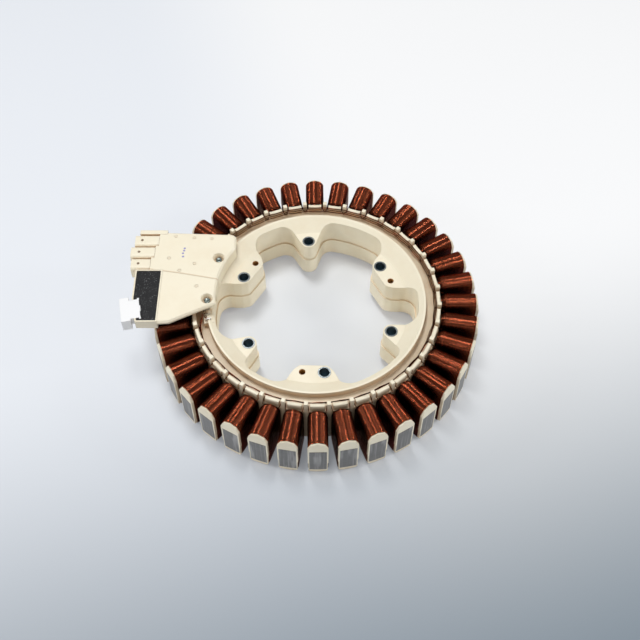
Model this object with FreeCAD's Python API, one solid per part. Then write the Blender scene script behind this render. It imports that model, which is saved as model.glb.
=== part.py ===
"""Wound stator of an outer-rotor direct-drive motor: 36-tooth lamination stack between two insulator mouldings.

Millimetres, +Z up. The origin is the centre of the mounting-hole circle, on the plane of the mounting seat,
which is also the underside of the steel stack.
"""

import math
import os

import FreeCAD
import Part

V = FreeCAD.Vector
UP = V(0, 0, 1)

# Lamination stack
TEETH = 36
FIRST_TOOTH_DEG = 0.74
STACK_HEIGHT = 28.0
YOKE_INNER_R = 87.0
YOKE_WIDTH = 13.2
TOOTH_WIDTH = 7.8
SHOE_R = 132.0
SHOE_WIDTH = 13.2
SHOE_THICK = 1.6

# Bobbins: slot liner, saddles over and under each tooth, and the frame round each pole shoe
LINER = 0.8
BOBBIN_SEAM_Z = 10.0
SADDLE_RISE = 5.8
SADDLE_SHOULDER = 3.4
SADDLE_TOP_WIDTH = 5.6
LOW_SADDLE_DROP = 2.2
FRAME_WIDTH = 15.6
LOW_FRAME_WIDTH = 14.6
LID_CORNER_RISE = 3.4
LID_APEX_RISE = 10.5
LID_SLANT = 1.1
LIP_CORNER_DROP = 1.8
LIP_APEX_DROP = 6.5
LIP_SLANT = 1.2
BOW_FLATS = 4
SLANT_START = 3.0

# Coils
COIL_WIDTH = 15.4
COIL_CROWN = 7.0
COIL_BELLY = 4.0
COIL_TOP_BUILD = 5.2
COIL_LOW_BUILD = 3.7
COIL_END_TAPER = 3.4
COIL_END_SCALE = 0.88
COIL_INNER_GAP = 0.6
WINDING_GAP = 0.1
CROWN_FLATS = 4
BELLY_FLATS = 2

# Upper insulator: channel, guide walls, pegs, rim and dish
CHANNEL_RISE = 6.0
RIM_RISE = 12.0
RIM_OVERLAP = 1.7
GUIDE_SETBACK = 2.8
GUIDE_THICK = 2.8
GUIDE_WIDTH = 11.0
GUIDE_RISE = 10.5
HORN_RISE = 1.8
HORN_WIDTH = 1.6
PEG_WIDTH = 3.0
PEG_SETBACK = 2.7
PEG_DEPTH = 3.3
PEG_RISE = 15.5

# Mounting flange
WALL = 3.0
DISH_RISE = 4.6
DISH_SLOPE_WIDTH = 12.0
FLANGE_SEAM_Z = 16.0
LOWER_TIER_STEP = 1.1
BAY_WALL = 4.0
POCKET_INSET = 3.5
POCKET_LENGTH = 9.5
PAD_POCKET_HALF = 15.0
NOSE_POCKET_HALF = 6.5
YOKE_COVER_DROP = 3.0
INNER_LIP_DROP = 6.0
INNER_LIP_THICK = 2.5

# Lobes: three single noses and three double pads, alternating
MOUNT_R = 65.8
FIRST_NOSE_DEG = 95.7
PAD_OFFSET_DEG = 52.5
PAD_HOLE_DEG = 7.5
NOSE_R = 6.5
NOSE_FLARE_DEG = 24.0
PAD_EDGE_SETBACK = 6.8
PAD_EDGE_HALF = 11.0
PAD_SHOULDER_SETBACK = 2.4
PAD_SHOULDER_HALF = 15.6
PAD_FLANK_OFFSET = 3.2
PAD_FLANK_HALF = 18.9
PAD_FLARE_DEG = 16.0
PAD_CORNER_R = 5.0
LOBE_FILLET = 11.0

# Mounting bushes and locating holes
BUSH_BORE = 8.2
BUSH_WALL = 1.0
BUSH_PROUD = 0.3
LOCATING_BORE = 5.2

# Crossover wires, laid inside the pegs over every other one
WIRE_THICK = 1.2
WIRE_PITCH_Z = 1.35
WIRE_TOP_RISE = 11.6
WIRE_PEG_GAP = 0.1
WIRE_SPAN_PEGS = 2
WIRE_CHORDS = 16
WIRE_FIRST_PEG = -17
PHASE_NAMES = ("u", "v", "w")

# Terminal cover
COVER_TOP_RISE = 21.0
COVER_PLATE = 3.0
COVER_ARC_SETBACK = 6.6
COVER_SKIRT = 2.2
COVER_FROM_DEG = 145.7
COVER_SKIRT_TO_DEG = 180.0
COVER_TO_DEG = 187.9
COVER_BACK_Y = 59.8
COVER_BACK_LEFT_Y = 62.2
COVER_CORNER_R = 5.0
COVER_FRONT_Y = (-29.1, -29.6)
COVER_FRONT_INSET = 16.3
COVER_LEFT_INSET = 7.3
COVER_SHOULDER_INSET = 8.0
COVER_EDGE = 1.4
SEAT_GAP = 0.05

# Cover screws, their pillars on the rim and the recesses over them
SCREW_OFFSET_R = 0.2
SCREW_DEGS = (156.5, 184.2)
SCREW_SHANK_R = 1.5
SCREW_LENGTH = 12.0
SCREW_HEAD_R = 2.5
SCREW_HEAD_H = 1.8
SCREW_CLEAR = 0.05
SCREW_TIP_ROOM = 0.5
RECESS_R = 4.8
RECESS_FLOOR_R = 3.2
RECESS_DEPTH = 4.0
COVER_BOSS_R = 4.1
PILLAR_R = 4.2

# Power connector: three barrels open to -X, on a block under the cover
BARREL_PITCH = 12.3
BARREL_WIDTH = 11.6
BARREL_FIRST_Y = 29.0
BARREL_MOUTH_REACH = (19.3, 20.8, 18.4)
BARREL_ROOT_REACH = (3.4, 0.8, -1.6)
BARREL_HEIGHT = 11.4
BARREL_ROUND = 2.8
BARREL_GAP = 0.15
SOCKET_WIDTH = 8.6
SOCKET_HEIGHT = 8.0
SOCKET_DEPTH = 14.0
BLOCK_REACH = 5.5
BLOCK_INSET = 14.4
BLOCK_HEIGHT = 6.3
SIDE_RIB_WIDTH = 4.6
SIDE_RIB_REACH = 15.0
TAB_WIDTH = 6.3
TAB_THICK = 0.8
TAB_BACK = 5.0
TAB_LENGTH = 22.0

# Hall-sensor housing: an open tray with its board under a potting fill
TRAY_HEIGHT = 9.0
TRAY_WALL = 1.2
TRAY_FLOOR = 1.6
TRAY_BACK_Y = 22.6
TRAY_FRONT_Y = -28.9
TRAY_KNEE_Y = -6.4
TRAY_REACH = (10.0, 14.6, 14.8)
BOARD_THICK = 1.6
POTTING_SUNK = 0.5

# Signal connector, square to its own radial line
PLUG_DEG = 191.1
PLUG_REACH = (7.9, 15.8, 23.2)
PLUG_NECK_SPAN = (-20.2, -2.3)
PLUG_SHROUD_SPAN = (-23.3, -0.5)
PLUG_HEIGHT = 11.6
PLUG_NECK_HEIGHT = 7.4
PLUG_WALL = 1.3
PLUG_SOCKET_DEPTH = 5.8
PLUG_GAP = 0.05
PIN_COUNT = 5
PIN_SIDE = 0.64
PIN_PITCH = 2.5
PIN_ROOT = 3.0
PIN_REACH = 4.3

# Phase terminals in their holder on the rim
TERMINAL_DEG = 190.4
TERMINAL_SETBACK = 2.8
TERMINAL_DEPTH = 7.4
TERMINAL_WIDTH = 15.0
TERMINAL_RISE = 11.0
PHASE_PITCH = 4.6
BLADE_THICK = 1.0
BLADE_WIDTH = 4.4
BLADE_SINK = 3.0
BLADE_STAND = 2.2

# Sizes that follow
TOOTH_STEP = 360.0 / TEETH
YOKE_OUTER_R = YOKE_INNER_R + YOKE_WIDTH
RIM_R = YOKE_INNER_R + RIM_OVERLAP
GUIDE_INNER_R = YOKE_OUTER_R - GUIDE_SETBACK
PEG_INNER_R = YOKE_OUTER_R - PEG_SETBACK
BAY_R = YOKE_INNER_R - BAY_WALL
DISH_Z = STACK_HEIGHT + DISH_RISE
DISH_FLAT_R = YOKE_INNER_R - DISH_SLOPE_WIDTH
PAD_CORNERS = (
    (MOUNT_R - PAD_EDGE_SETBACK, PAD_EDGE_HALF),
    (MOUNT_R - PAD_SHOULDER_SETBACK, PAD_SHOULDER_HALF),
    (MOUNT_R + PAD_FLANK_OFFSET, PAD_FLANK_HALF),
)
CHANNEL_Z = STACK_HEIGHT + CHANNEL_RISE
RIM_Z = STACK_HEIGHT + RIM_RISE
DISH_SLOPE = (RIM_Z - DISH_Z) / DISH_SLOPE_WIDTH
YOKE_WALL_R = YOKE_INNER_R - WALL
SHOE_FACE_X = math.sqrt(SHOE_R**2 - (FRAME_WIDTH / 2) ** 2)
SHOE_BACK_X = SHOE_R - SHOE_THICK
FRAME_BACK_X = SHOE_BACK_X - LINER
SLOT_FLOOR_R = YOKE_OUTER_R + LINER
SLEEVE_HALF = TOOTH_WIDTH / 2 + LINER
COIL_INNER_X = SLOT_FLOOR_R + COIL_INNER_GAP
COIL_OUTER_X = FRAME_BACK_X - WINDING_GAP
COIL_TOP_Z = STACK_HEIGHT + SADDLE_RISE + COIL_TOP_BUILD
COIL_LOW_Z = -LOW_SADDLE_DROP - COIL_LOW_BUILD
COVER_TOP_Z = STACK_HEIGHT + COVER_TOP_RISE
COVER_INNER_R = YOKE_INNER_R - COVER_ARC_SETBACK
COVER_LEFT_X = COVER_LEFT_INSET - SHOE_R
COVER_SHOULDER_X = COVER_SHOULDER_INSET - SHOE_R
COVER_LOW_Z = COVER_TOP_Z - COVER_PLATE
RECESS_Z = COVER_TOP_Z - RECESS_DEPTH
TRAY_LOW_Z = COVER_TOP_Z - TRAY_HEIGHT
TRAY_RIGHT_X = COVER_LEFT_X - SEAT_GAP
BARREL_MOUTH_X = [-SHOE_R - reach for reach in BARREL_MOUTH_REACH]
BARREL_ROOT_X = [-SHOE_R - reach for reach in BARREL_ROOT_REACH]
BARREL_LOW_Z = COVER_TOP_Z - BARREL_HEIGHT
BLOCK_LOW_Z = COVER_LOW_Z - BLOCK_HEIGHT
PLUG_NECK = (SHOE_R + PLUG_REACH[0], SHOE_R + PLUG_REACH[1], *PLUG_NECK_SPAN)
PLUG_SHROUD = (SHOE_R + PLUG_REACH[1], SHOE_R + PLUG_REACH[2], *PLUG_SHROUD_SPAN)
PLUG_LOW_Z = COVER_TOP_Z - PLUG_HEIGHT
PLUG_NECK_LOW_Z = COVER_TOP_Z - PLUG_NECK_HEIGHT
TERMINAL_Z = STACK_HEIGHT + TERMINAL_RISE
BUSH_R = BUSH_BORE / 2 + BUSH_WALL
EMBED = 0.5
PASS = 1.0
TOOTH_DEGS = [FIRST_TOOTH_DEG + k * TOOTH_STEP for k in range(TEETH)]
SLOT_DEGS = [deg + TOOTH_STEP / 2 for deg in TOOTH_DEGS]
NOSE_DEGS = [FIRST_NOSE_DEG + k * 120.0 for k in range(3)]
PAD_DEGS = [deg + PAD_OFFSET_DEG for deg in NOSE_DEGS]
MOUNT_DEGS = NOSE_DEGS + [deg + PAD_HOLE_DEG for deg in PAD_DEGS]
LOCATING_DEGS = [deg - PAD_HOLE_DEG for deg in PAD_DEGS]


def polar(r, deg, z=0.0):
    """Point at radius r and angle deg about the ring's axis."""
    return V(r * math.cos(math.radians(deg)), r * math.sin(math.radians(deg)), z)


def turned_by(shape, deg):
    """Copy of a shape turned about the ring's axis."""
    copy = shape.copy()
    copy.rotate(V(0, 0, 0), UP, deg)
    return copy


def face_of(points):
    """Flat face inside a closed run of points."""
    return Part.Face(Part.makePolygon(points + points[:1]))


def prism(outline, low, high):
    """Upright prism on a plan outline of (x, y) points."""
    return face_of([V(x, y, low) for x, y in outline]).extrude(V(0, 0, high - low))


def across(profile, near, far):
    """Bar along +X with a (y, z) profile, from x = near to x = far."""
    return face_of([V(near, y, z) for y, z in profile]).extrude(V(far - near, 0, 0))


def turned(profile, start=0.0, sweep=360.0):
    """Solid of revolution of an (r, z) profile about the ring's axis."""
    face = face_of([V(r, 0, z) for r, z in profile])
    return turned_by(face.revolve(V(0, 0, 0), UP, sweep), start)


def cylinder(x, y, radius, low, high):
    return Part.makeCylinder(radius, high - low, V(x, y, low), UP)


def block(x0, x1, y0, y1, z0, z1):
    return Part.makeBox(x1 - x0, y1 - y0, z1 - z0, V(x0, y0, z0))


def joined(first, others):
    """One solid from shapes that overlap or touch."""
    return first.multiFuse(others).removeSplitter()


# ---------------------------------------------------------------- lamination stack


def shoe_corner_x(half):
    """How far out the round pole face lies at a given half width."""
    return math.sqrt(SHOE_R**2 - half**2)


def tooth_outline(deg):
    """Edges of one tooth and of the slot floor after it, counter-clockwise from the tooth's root."""
    half = TOOTH_WIDTH / 2
    shoe_half = SHOE_WIDTH / 2
    root_x = math.sqrt(YOKE_OUTER_R**2 - half**2)
    right = [
        V(root_x, -half, 0),
        V(SHOE_BACK_X, -half, 0),
        V(SHOE_BACK_X, -shoe_half, 0),
        V(shoe_corner_x(shoe_half), -shoe_half, 0),
    ]
    left = [V(p.x, -p.y, 0) for p in reversed(right)]
    edges = [Part.makeLine(a, b) for a, b in zip(right, right[1:])]
    edges.append(Part.Arc(right[-1], V(SHOE_R, 0, 0), left[0]).toShape())
    edges += [Part.makeLine(a, b) for a, b in zip(left, left[1:])]
    edges.append(Part.makeLine(left[-1], turned_by(Part.Vertex(right[0]), TOOTH_STEP).Point))
    return [turned_by(edge, deg) for edge in edges]


def lamination_core():
    """The stack of laminations: yoke ring, parallel teeth and their pole shoes."""
    edges = []
    for deg in TOOTH_DEGS:
        edges += tooth_outline(deg)
    disc = Part.Face(Part.Wire(Part.__sortEdges__(edges))).extrude(V(0, 0, STACK_HEIGHT))
    return disc.cut(cylinder(0, 0, YOKE_INNER_R, 0, STACK_HEIGHT))


# ---------------------------------------------------------------- mounting flange


def heading(deg):
    """Unit vector in the plan."""
    return polar(1.0, deg)


def bay_fillet(point, flare_deg):
    """Centre of the fillet between a lobe's flank, through a point, and the wall of the bay beside it."""
    along = heading(flare_deg)
    base = point + heading(flare_deg + 90) * LOBE_FILLET
    reach = base.dot(along)
    travel = math.sqrt(reach**2 - base.dot(base) + (BAY_R - LOBE_FILLET) ** 2) - reach
    return base + along * travel


def fillet_arc(point, flare_deg):
    """Last arc of a lobe's side, as (centre, radius, growth, start heading, end heading)."""
    centre = bay_fillet(point, flare_deg)
    return centre, LOBE_FILLET, -1, flare_deg - 90, math.degrees(math.atan2(centre.y, centre.x))


def nose_side():
    """Arcs of one side of a single lobe on +X: its round tip about the hole, then the fillet."""
    centre = V(MOUNT_R, 0, 0)
    normal_deg = NOSE_FLARE_DEG + 90
    touch = centre + heading(normal_deg) * NOSE_R
    return [(centre, NOSE_R, 1, 180, normal_deg), fillet_arc(touch, NOSE_FLARE_DEG)]


def pad_side():
    """Arcs of one side of a double lobe on +X: the corners of its chamfered shoulder, then the fillet."""
    corners = [V(x, y, 0) for x, y in PAD_CORNERS]
    runs = [corners[1] - corners[0], corners[2] - corners[1]]
    degs = [90.0] + [math.degrees(math.atan2(run.y, run.x)) for run in runs] + [PAD_FLARE_DEG]
    arcs = []
    for corner, before, after in zip(corners, degs, degs[1:]):
        sway = heading(before + 90) + heading(after + 90)
        centre = corner - sway * (PAD_CORNER_R * 2 / sway.dot(sway))
        arcs.append((centre, PAD_CORNER_R, 1, before + 90, after + 90))
    return arcs + [fillet_arc(corners[-1], PAD_FLARE_DEG)]


def lobe_arcs(side, deg):
    """Both sides of a lobe, turned to its place, in counter-clockwise order."""
    other = [(V(c.x, -c.y, 0), radius, growth, -end, -start) for c, radius, growth, start, end in reversed(side)]
    turned_arcs = []
    for centre, radius, growth, start, end in other + side:
        turned_arcs.append((turned_by(Part.Vertex(centre), deg).Point, radius, growth, start + deg, end + deg))
    return turned_arcs


def opening(growth):
    """Plan face of the lobed centre opening, with the wall round it grown into the opening."""
    lobes = []
    for deg in NOSE_DEGS:
        lobes.append(lobe_arcs(nose_side(), deg))
        lobes.append(lobe_arcs(pad_side(), deg + PAD_OFFSET_DEG))
    arcs = []
    for lobe, after in zip(lobes, lobes[1:] + lobes[:1]):
        bay_from = lobe[-1][4]
        bay_to = bay_from + (after[0][3] - bay_from) % 360
        arcs += lobe + [(V(0, 0, 0), BAY_R, -1, bay_from, bay_to)]
    edges = []
    ends = []
    for centre, radius, side, start, end in arcs:
        run = [centre + heading(turn) * (radius + side * growth) for turn in (start, (start + end) / 2, end)]
        edges.append(Part.Arc(*run).toShape())
        ends.append((run[0], run[-1]))
    for (_, here), (there, _) in zip(ends, ends[1:] + ends[:1]):
        if here.distanceToPoint(there) > 0.001:
            edges.append(Part.makeLine(here, there))
    return Part.Face(Part.Wire(Part.__sortEdges__(edges)))


def dish_z(r):
    """Height of the dish's upper surface at radius r."""
    return DISH_Z + DISH_SLOPE * max(0.0, r - DISH_FLAT_R)


def pockets(low, high):
    """Coring pockets in the root of each lobe, outboard of its holes."""
    outer = YOKE_INNER_R - POCKET_INSET
    inner = outer - POCKET_LENGTH
    places = [(deg, NOSE_POCKET_HALF) for deg in NOSE_DEGS] + [(deg, PAD_POCKET_HALF) for deg in PAD_DEGS]
    return [turned_by(block(inner, outer, -half, half, low, high), deg) for deg, half in places]


def hole_tools(low, high):
    """Round tools for the bush seats and the locating holes."""
    seats = [(deg, BUSH_R) for deg in MOUNT_DEGS] + [(deg, LOCATING_BORE / 2) for deg in LOCATING_DEGS]
    made = []
    for deg, radius in seats:
        at = polar(MOUNT_R, deg)
        made.append(cylinder(at.x, at.y, radius, low - PASS, high + PASS))
    return made


def lift(face, low, high):
    """Prism over a plan face at z = 0."""
    moved = face.copy()
    moved.translate(V(0, 0, low))
    return moved.extrude(V(0, 0, high - low))


def upper_flange():
    """Upper half of the flange: lobes, dish and the wall down to the seam."""
    dish = [
        (0, FLANGE_SEAM_Z),
        (YOKE_INNER_R, FLANGE_SEAM_Z),
        (YOKE_INNER_R, dish_z(YOKE_INNER_R)),
        (DISH_FLAT_R, DISH_Z),
        (0, DISH_Z),
    ]
    tools = [lift(opening(0), 0, RIM_Z)] + pockets(FLANGE_SEAM_Z - PASS, DISH_Z - WALL)
    return turned(dish).cut(tools + hole_tools(0, RIM_Z))


def lower_flange():
    """Lower half: a closed underside, its wall standing a step proud of the upper half."""
    disc = cylinder(0, 0, YOKE_INNER_R, 0, FLANGE_SEAM_Z)
    tools = [lift(opening(LOWER_TIER_STEP), -PASS, RIM_Z)] + pockets(WALL, FLANGE_SEAM_Z + PASS)
    return disc.cut(tools + hole_tools(0, FLANGE_SEAM_Z))


# ---------------------------------------------------------------- insulators


def slot_liner(frame_half, low, high):
    """Thin lining of the slot after tooth 0: one shoe's edge, the slot's walls and floor, the next shoe's edge."""
    half = TOOTH_WIDTH / 2
    shoe_half = SHOE_WIDTH / 2
    steel_side = [
        V(shoe_corner_x(shoe_half), shoe_half, 0),
        V(SHOE_BACK_X, shoe_half, 0),
        V(SHOE_BACK_X, half, 0),
        V(math.sqrt(YOKE_OUTER_R**2 - half**2), half, 0),
    ]
    open_side = [
        V(SHOE_FACE_X, frame_half, 0),
        V(FRAME_BACK_X, frame_half, 0),
        V(FRAME_BACK_X, SLEEVE_HALF, 0),
        V(math.sqrt(SLOT_FLOOR_R**2 - SLEEVE_HALF**2), SLEEVE_HALF, 0),
    ]
    steel_far = [turned_by(Part.Vertex(p.x, -p.y, 0), TOOTH_STEP).Point for p in reversed(steel_side)]
    open_far = [turned_by(Part.Vertex(p.x, -p.y, 0), TOOTH_STEP).Point for p in open_side]
    return lift(face_of(steel_side + steel_far + open_far + open_side[::-1]), low, high)


def bow_arc(half, corner_z, apex_z):
    """Points along the round arc from (half, corner_z) over (0, apex_z) to (-half, corner_z)."""
    rise = apex_z - corner_z
    radius = (half**2 + rise**2) / (2 * rise)
    centre_z = apex_z - radius
    sweep = math.atan2(half, (corner_z - centre_z) * math.copysign(1, radius))
    turns = [sweep * (1 - 2 * k / BOW_FLATS) for k in range(BOW_FLATS + 1)]
    return [(abs(radius) * math.sin(turn), centre_z + radius * math.cos(turn)) for turn in turns]


def bowed_frame(half, root_z, corner_z, apex_z, slant):
    """Part of a shoe frame beyond the steel: bowed in front view, its outer face leaning inboard to the apex."""
    bow = bow_arc(half, corner_z, apex_z)
    profile = [(half, root_z)] + bow + [(-half, root_z)]
    plate = across(profile, FRAME_BACK_X, SHOE_FACE_X)
    away = math.copysign(1.0, apex_z - root_z)
    start_z = root_z + away * SLANT_START
    lean = slant / (apex_z - start_z)
    beyond_z = apex_z + away * slant
    shaving = [
        (SHOE_FACE_X, start_z),
        (SHOE_FACE_X - lean * (beyond_z - start_z), beyond_z),
        (SHOE_R + slant, beyond_z),
        (SHOE_R + slant, start_z),
    ]
    wedge = face_of([V(x, -FRAME_WIDTH, z) for x, z in shaving]).extrude(V(0, 2 * FRAME_WIDTH, 0))
    return plate.cut(wedge)


def upper_bobbin():
    """Saddle over tooth 0 and the lid of its shoe frame."""
    half = FRAME_WIDTH / 2
    low = STACK_HEIGHT
    saddle = [
        (-SLEEVE_HALF, low),
        (SLEEVE_HALF, low),
        (SLEEVE_HALF, low + SADDLE_SHOULDER),
        (SADDLE_TOP_WIDTH / 2, low + SADDLE_RISE),
        (-SADDLE_TOP_WIDTH / 2, low + SADDLE_RISE),
        (-SLEEVE_HALF, low + SADDLE_SHOULDER),
    ]
    lid = bowed_frame(half, low, low + LID_CORNER_RISE, low + LID_APEX_RISE, LID_SLANT)
    return joined(across(saddle, SLOT_FLOOR_R - LINER / 2, FRAME_BACK_X + EMBED), [lid])


def lower_bobbin():
    """Saddle under tooth 0 and the lip of its shoe frame."""
    saddle = [
        (-SLEEVE_HALF, 0),
        (SLEEVE_HALF, 0),
        (SLEEVE_HALF, -LOW_SADDLE_DROP),
        (-SLEEVE_HALF, -LOW_SADDLE_DROP),
    ]
    lip = bowed_frame(LOW_FRAME_WIDTH / 2, 0, -LIP_CORNER_DROP, -LIP_APEX_DROP, LIP_SLANT)
    return joined(across(saddle, SLOT_FLOOR_R - LINER / 2, FRAME_BACK_X + EMBED), [lip])


def guide_wall():
    """Cradle wall at the inner end of coil 0, with a horn at each side."""
    half = GUIDE_WIDTH / 2
    inner = half - HORN_WIDTH
    top = STACK_HEIGHT + GUIDE_RISE
    low = CHANNEL_Z - EMBED
    profile = [
        (-half, low),
        (half, low),
        (half, top + HORN_RISE),
        (inner, top + HORN_RISE),
        (inner, top),
        (-inner, top),
        (-inner, top + HORN_RISE),
        (-half, top + HORN_RISE),
    ]
    return across(profile, GUIDE_INNER_R, GUIDE_INNER_R + GUIDE_THICK)


def peg():
    """Upright peg between two guide walls."""
    return block(
        PEG_INNER_R, PEG_INNER_R + PEG_DEPTH, -PEG_WIDTH / 2, PEG_WIDTH / 2, CHANNEL_Z - EMBED,
        STACK_HEIGHT + PEG_RISE,
    )


def blade_places():
    """Sideways places of the phase terminals in their holder."""
    count = len(PHASE_NAMES)
    return [(k - (count - 1) / 2) * PHASE_PITCH for k in range(count)]


def phase_blade(side):
    """One phase terminal, standing in its slot."""
    middle = YOKE_INNER_R - TERMINAL_SETBACK + TERMINAL_DEPTH / 2
    half = BLADE_WIDTH / 2
    low = TERMINAL_Z - BLADE_SINK
    return block(
        middle - half, middle + half, side - BLADE_THICK / 2, side + BLADE_THICK / 2, low, TERMINAL_Z + BLADE_STAND
    )


def phase_terminals():
    """The three phase terminals."""
    return Part.makeCompound([turned_by(phase_blade(side), TERMINAL_DEG) for side in blade_places()])


def screw_places():
    """Where the cover screws stand, on the rim."""
    return [polar(YOKE_INNER_R + SCREW_OFFSET_R, deg) for deg in SCREW_DEGS]


def screw_pillars():
    """Pillars on the rim that take the cover screws."""
    return [cylinder(at.x, at.y, PILLAR_R, CHANNEL_Z - EMBED, RIM_Z) for at in screw_places()]


def pilot_holes():
    """Holes for the cover screws, a little deeper than the screws reach."""
    low = RECESS_Z - SCREW_LENGTH - SCREW_TIP_ROOM
    return [cylinder(at.x, at.y, SCREW_SHANK_R + SCREW_CLEAR, low, RIM_Z + PASS) for at in screw_places()]


def floor_polygon():
    """Corners of the polygon on which the slots' lined floors and the saddles' roots lie."""
    root_x = math.sqrt(SLOT_FLOOR_R**2 - SLEEVE_HALF**2)
    points = []
    for deg in TOOTH_DEGS:
        for y in (-SLEEVE_HALF, SLEEVE_HALF):
            corner = turned_by(Part.Vertex(root_x, y, 0), deg).Point
            points.append((corner.x, corner.y))
    return points


def insulator_upper():
    """Upper moulding: flange, dish, rim, wire channel, guide walls, pegs, saddles and shoe lids."""
    inner = YOKE_INNER_R - EMBED
    rim = [
        (inner, STACK_HEIGHT),
        (RIM_R, STACK_HEIGHT),
        (RIM_R, RIM_Z),
        (YOKE_INNER_R, RIM_Z),
        (inner, dish_z(inner) - EMBED),
    ]
    channel = prism(floor_polygon(), STACK_HEIGHT, CHANNEL_Z).cut(cylinder(0, 0, YOKE_INNER_R, 0, RIM_Z))
    pieces = [turned(rim), channel]
    bobbin = upper_bobbin()
    liner = slot_liner(FRAME_WIDTH / 2, BOBBIN_SEAM_Z, STACK_HEIGHT + EMBED)
    wall = guide_wall()
    post = peg()
    for tooth, slot in zip(TOOTH_DEGS, SLOT_DEGS):
        pieces += [turned_by(bobbin, tooth), turned_by(liner, tooth), turned_by(wall, tooth), turned_by(post, slot)]
    half = TERMINAL_WIDTH / 2
    near = YOKE_INNER_R - TERMINAL_SETBACK
    holder = block(near, near + TERMINAL_DEPTH, -half, half, CHANNEL_Z - EMBED, TERMINAL_Z)
    pieces.append(turned_by(holder, TERMINAL_DEG))
    whole = upper_flange().multiFuse(pieces + screw_pillars())
    return whole.cut(pilot_holes() + phase_terminals().Solids).removeSplitter()


def insulator_lower():
    """Lower moulding: flange, plate and lip under the yoke, saddles and shoe lips."""
    under = prism(floor_polygon(), -INNER_LIP_DROP, 0)
    hollow = cylinder(0, 0, SLOT_FLOOR_R - INNER_LIP_THICK, -INNER_LIP_DROP, -YOKE_COVER_DROP)
    under = under.cut([hollow, cylinder(0, 0, YOKE_WALL_R, -YOKE_COVER_DROP, 0)])
    pieces = [under]
    bobbin = lower_bobbin()
    liner = slot_liner(LOW_FRAME_WIDTH / 2, -EMBED, BOBBIN_SEAM_Z)
    for tooth in TOOTH_DEGS:
        pieces += [turned_by(bobbin, tooth), turned_by(liner, tooth)]
    return joined(lower_flange(), pieces)


# ---------------------------------------------------------------- windings


def coil_section(x, scale):
    """Corners of a coil's section at distance x: straight flanks, a bowed crown and a flatter belly."""
    half = COIL_WIDTH / 2
    middle = (COIL_TOP_Z + COIL_LOW_Z) / 2
    points = []
    for k in range(CROWN_FLATS + 1):
        turn = math.pi * k / CROWN_FLATS
        points.append((half * math.cos(turn), COIL_TOP_Z - COIL_CROWN * (1 - math.sin(turn))))
    for k in range(BELLY_FLATS + 1):
        turn = math.pi * k / BELLY_FLATS
        points.append((-half * math.cos(turn), COIL_LOW_Z + COIL_BELLY * (1 - math.sin(turn))))
    return [V(x, y * scale, middle + (z - middle) * scale) for y, z in points]


def coil():
    """Coil on tooth 0: full section over its length, drawn in at the inner end, round its bobbin."""
    sections = [
        coil_section(COIL_INNER_X, COIL_END_SCALE),
        coil_section(COIL_INNER_X + COIL_END_TAPER, 1.0),
        coil_section(COIL_OUTER_X, 1.0),
    ]
    faces = [face_of(sections[0]), face_of(sections[-1])]
    for near, far in zip(sections, sections[1:]):
        for k in range(len(near)):
            faces.append(face_of([near[k - 1], near[k], far[k], far[k - 1]]))
    half = SLEEVE_HALF + WINDING_GAP
    top = STACK_HEIGHT + SADDLE_RISE + WINDING_GAP
    low = -LOW_SADDLE_DROP - WINDING_GAP
    solid = Part.makeSolid(Part.makeShell(faces))
    return solid.cut(block(COIL_INNER_X - PASS, COIL_OUTER_X + PASS, -half, half, low, top))


def crossover(lay):
    """One phase's crossover wire: straight chords from peg to peg, a band in plan, one level per phase."""
    outer = PEG_INNER_R - WIRE_PEG_GAP
    step = WIRE_SPAN_PEGS * TOOTH_STEP
    start = SLOT_DEGS[0] + (WIRE_FIRST_PEG + lay) * TOOTH_STEP
    inner = outer - WIRE_THICK / math.cos(math.radians(step / 2))
    degs = [start + k * step for k in range(WIRE_CHORDS + 1)]
    plan = [polar(outer, deg) for deg in degs] + [polar(inner, deg) for deg in reversed(degs)]
    top = STACK_HEIGHT + WIRE_TOP_RISE - lay * WIRE_PITCH_Z
    return prism([(p.x, p.y) for p in plan], top - WIRE_THICK, top)


# ---------------------------------------------------------------- hardware


def mounting_bushes():
    """Steel bushes through the six mounting bosses."""
    made = []
    for deg in MOUNT_DEGS:
        at = polar(MOUNT_R, deg)
        outside = cylinder(at.x, at.y, BUSH_R, 0, DISH_Z + BUSH_PROUD)
        made.append(outside.cut(cylinder(at.x, at.y, BUSH_BORE / 2, -PASS, DISH_Z + PASS)))
    return Part.makeCompound(made)


def cover_screws():
    """Two pan-head screws, seated on the floors of the cover's recesses."""
    made = []
    for x, y, _ in screw_places():
        head = cylinder(x, y, SCREW_HEAD_R, RECESS_Z, RECESS_Z + SCREW_HEAD_H)
        shank = cylinder(x, y, SCREW_SHANK_R, RECESS_Z - SCREW_LENGTH, RECESS_Z + EMBED)
        made.append(joined(head, [shank]))
    return Part.makeCompound(made)


# ---------------------------------------------------------------- terminal cover


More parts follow.
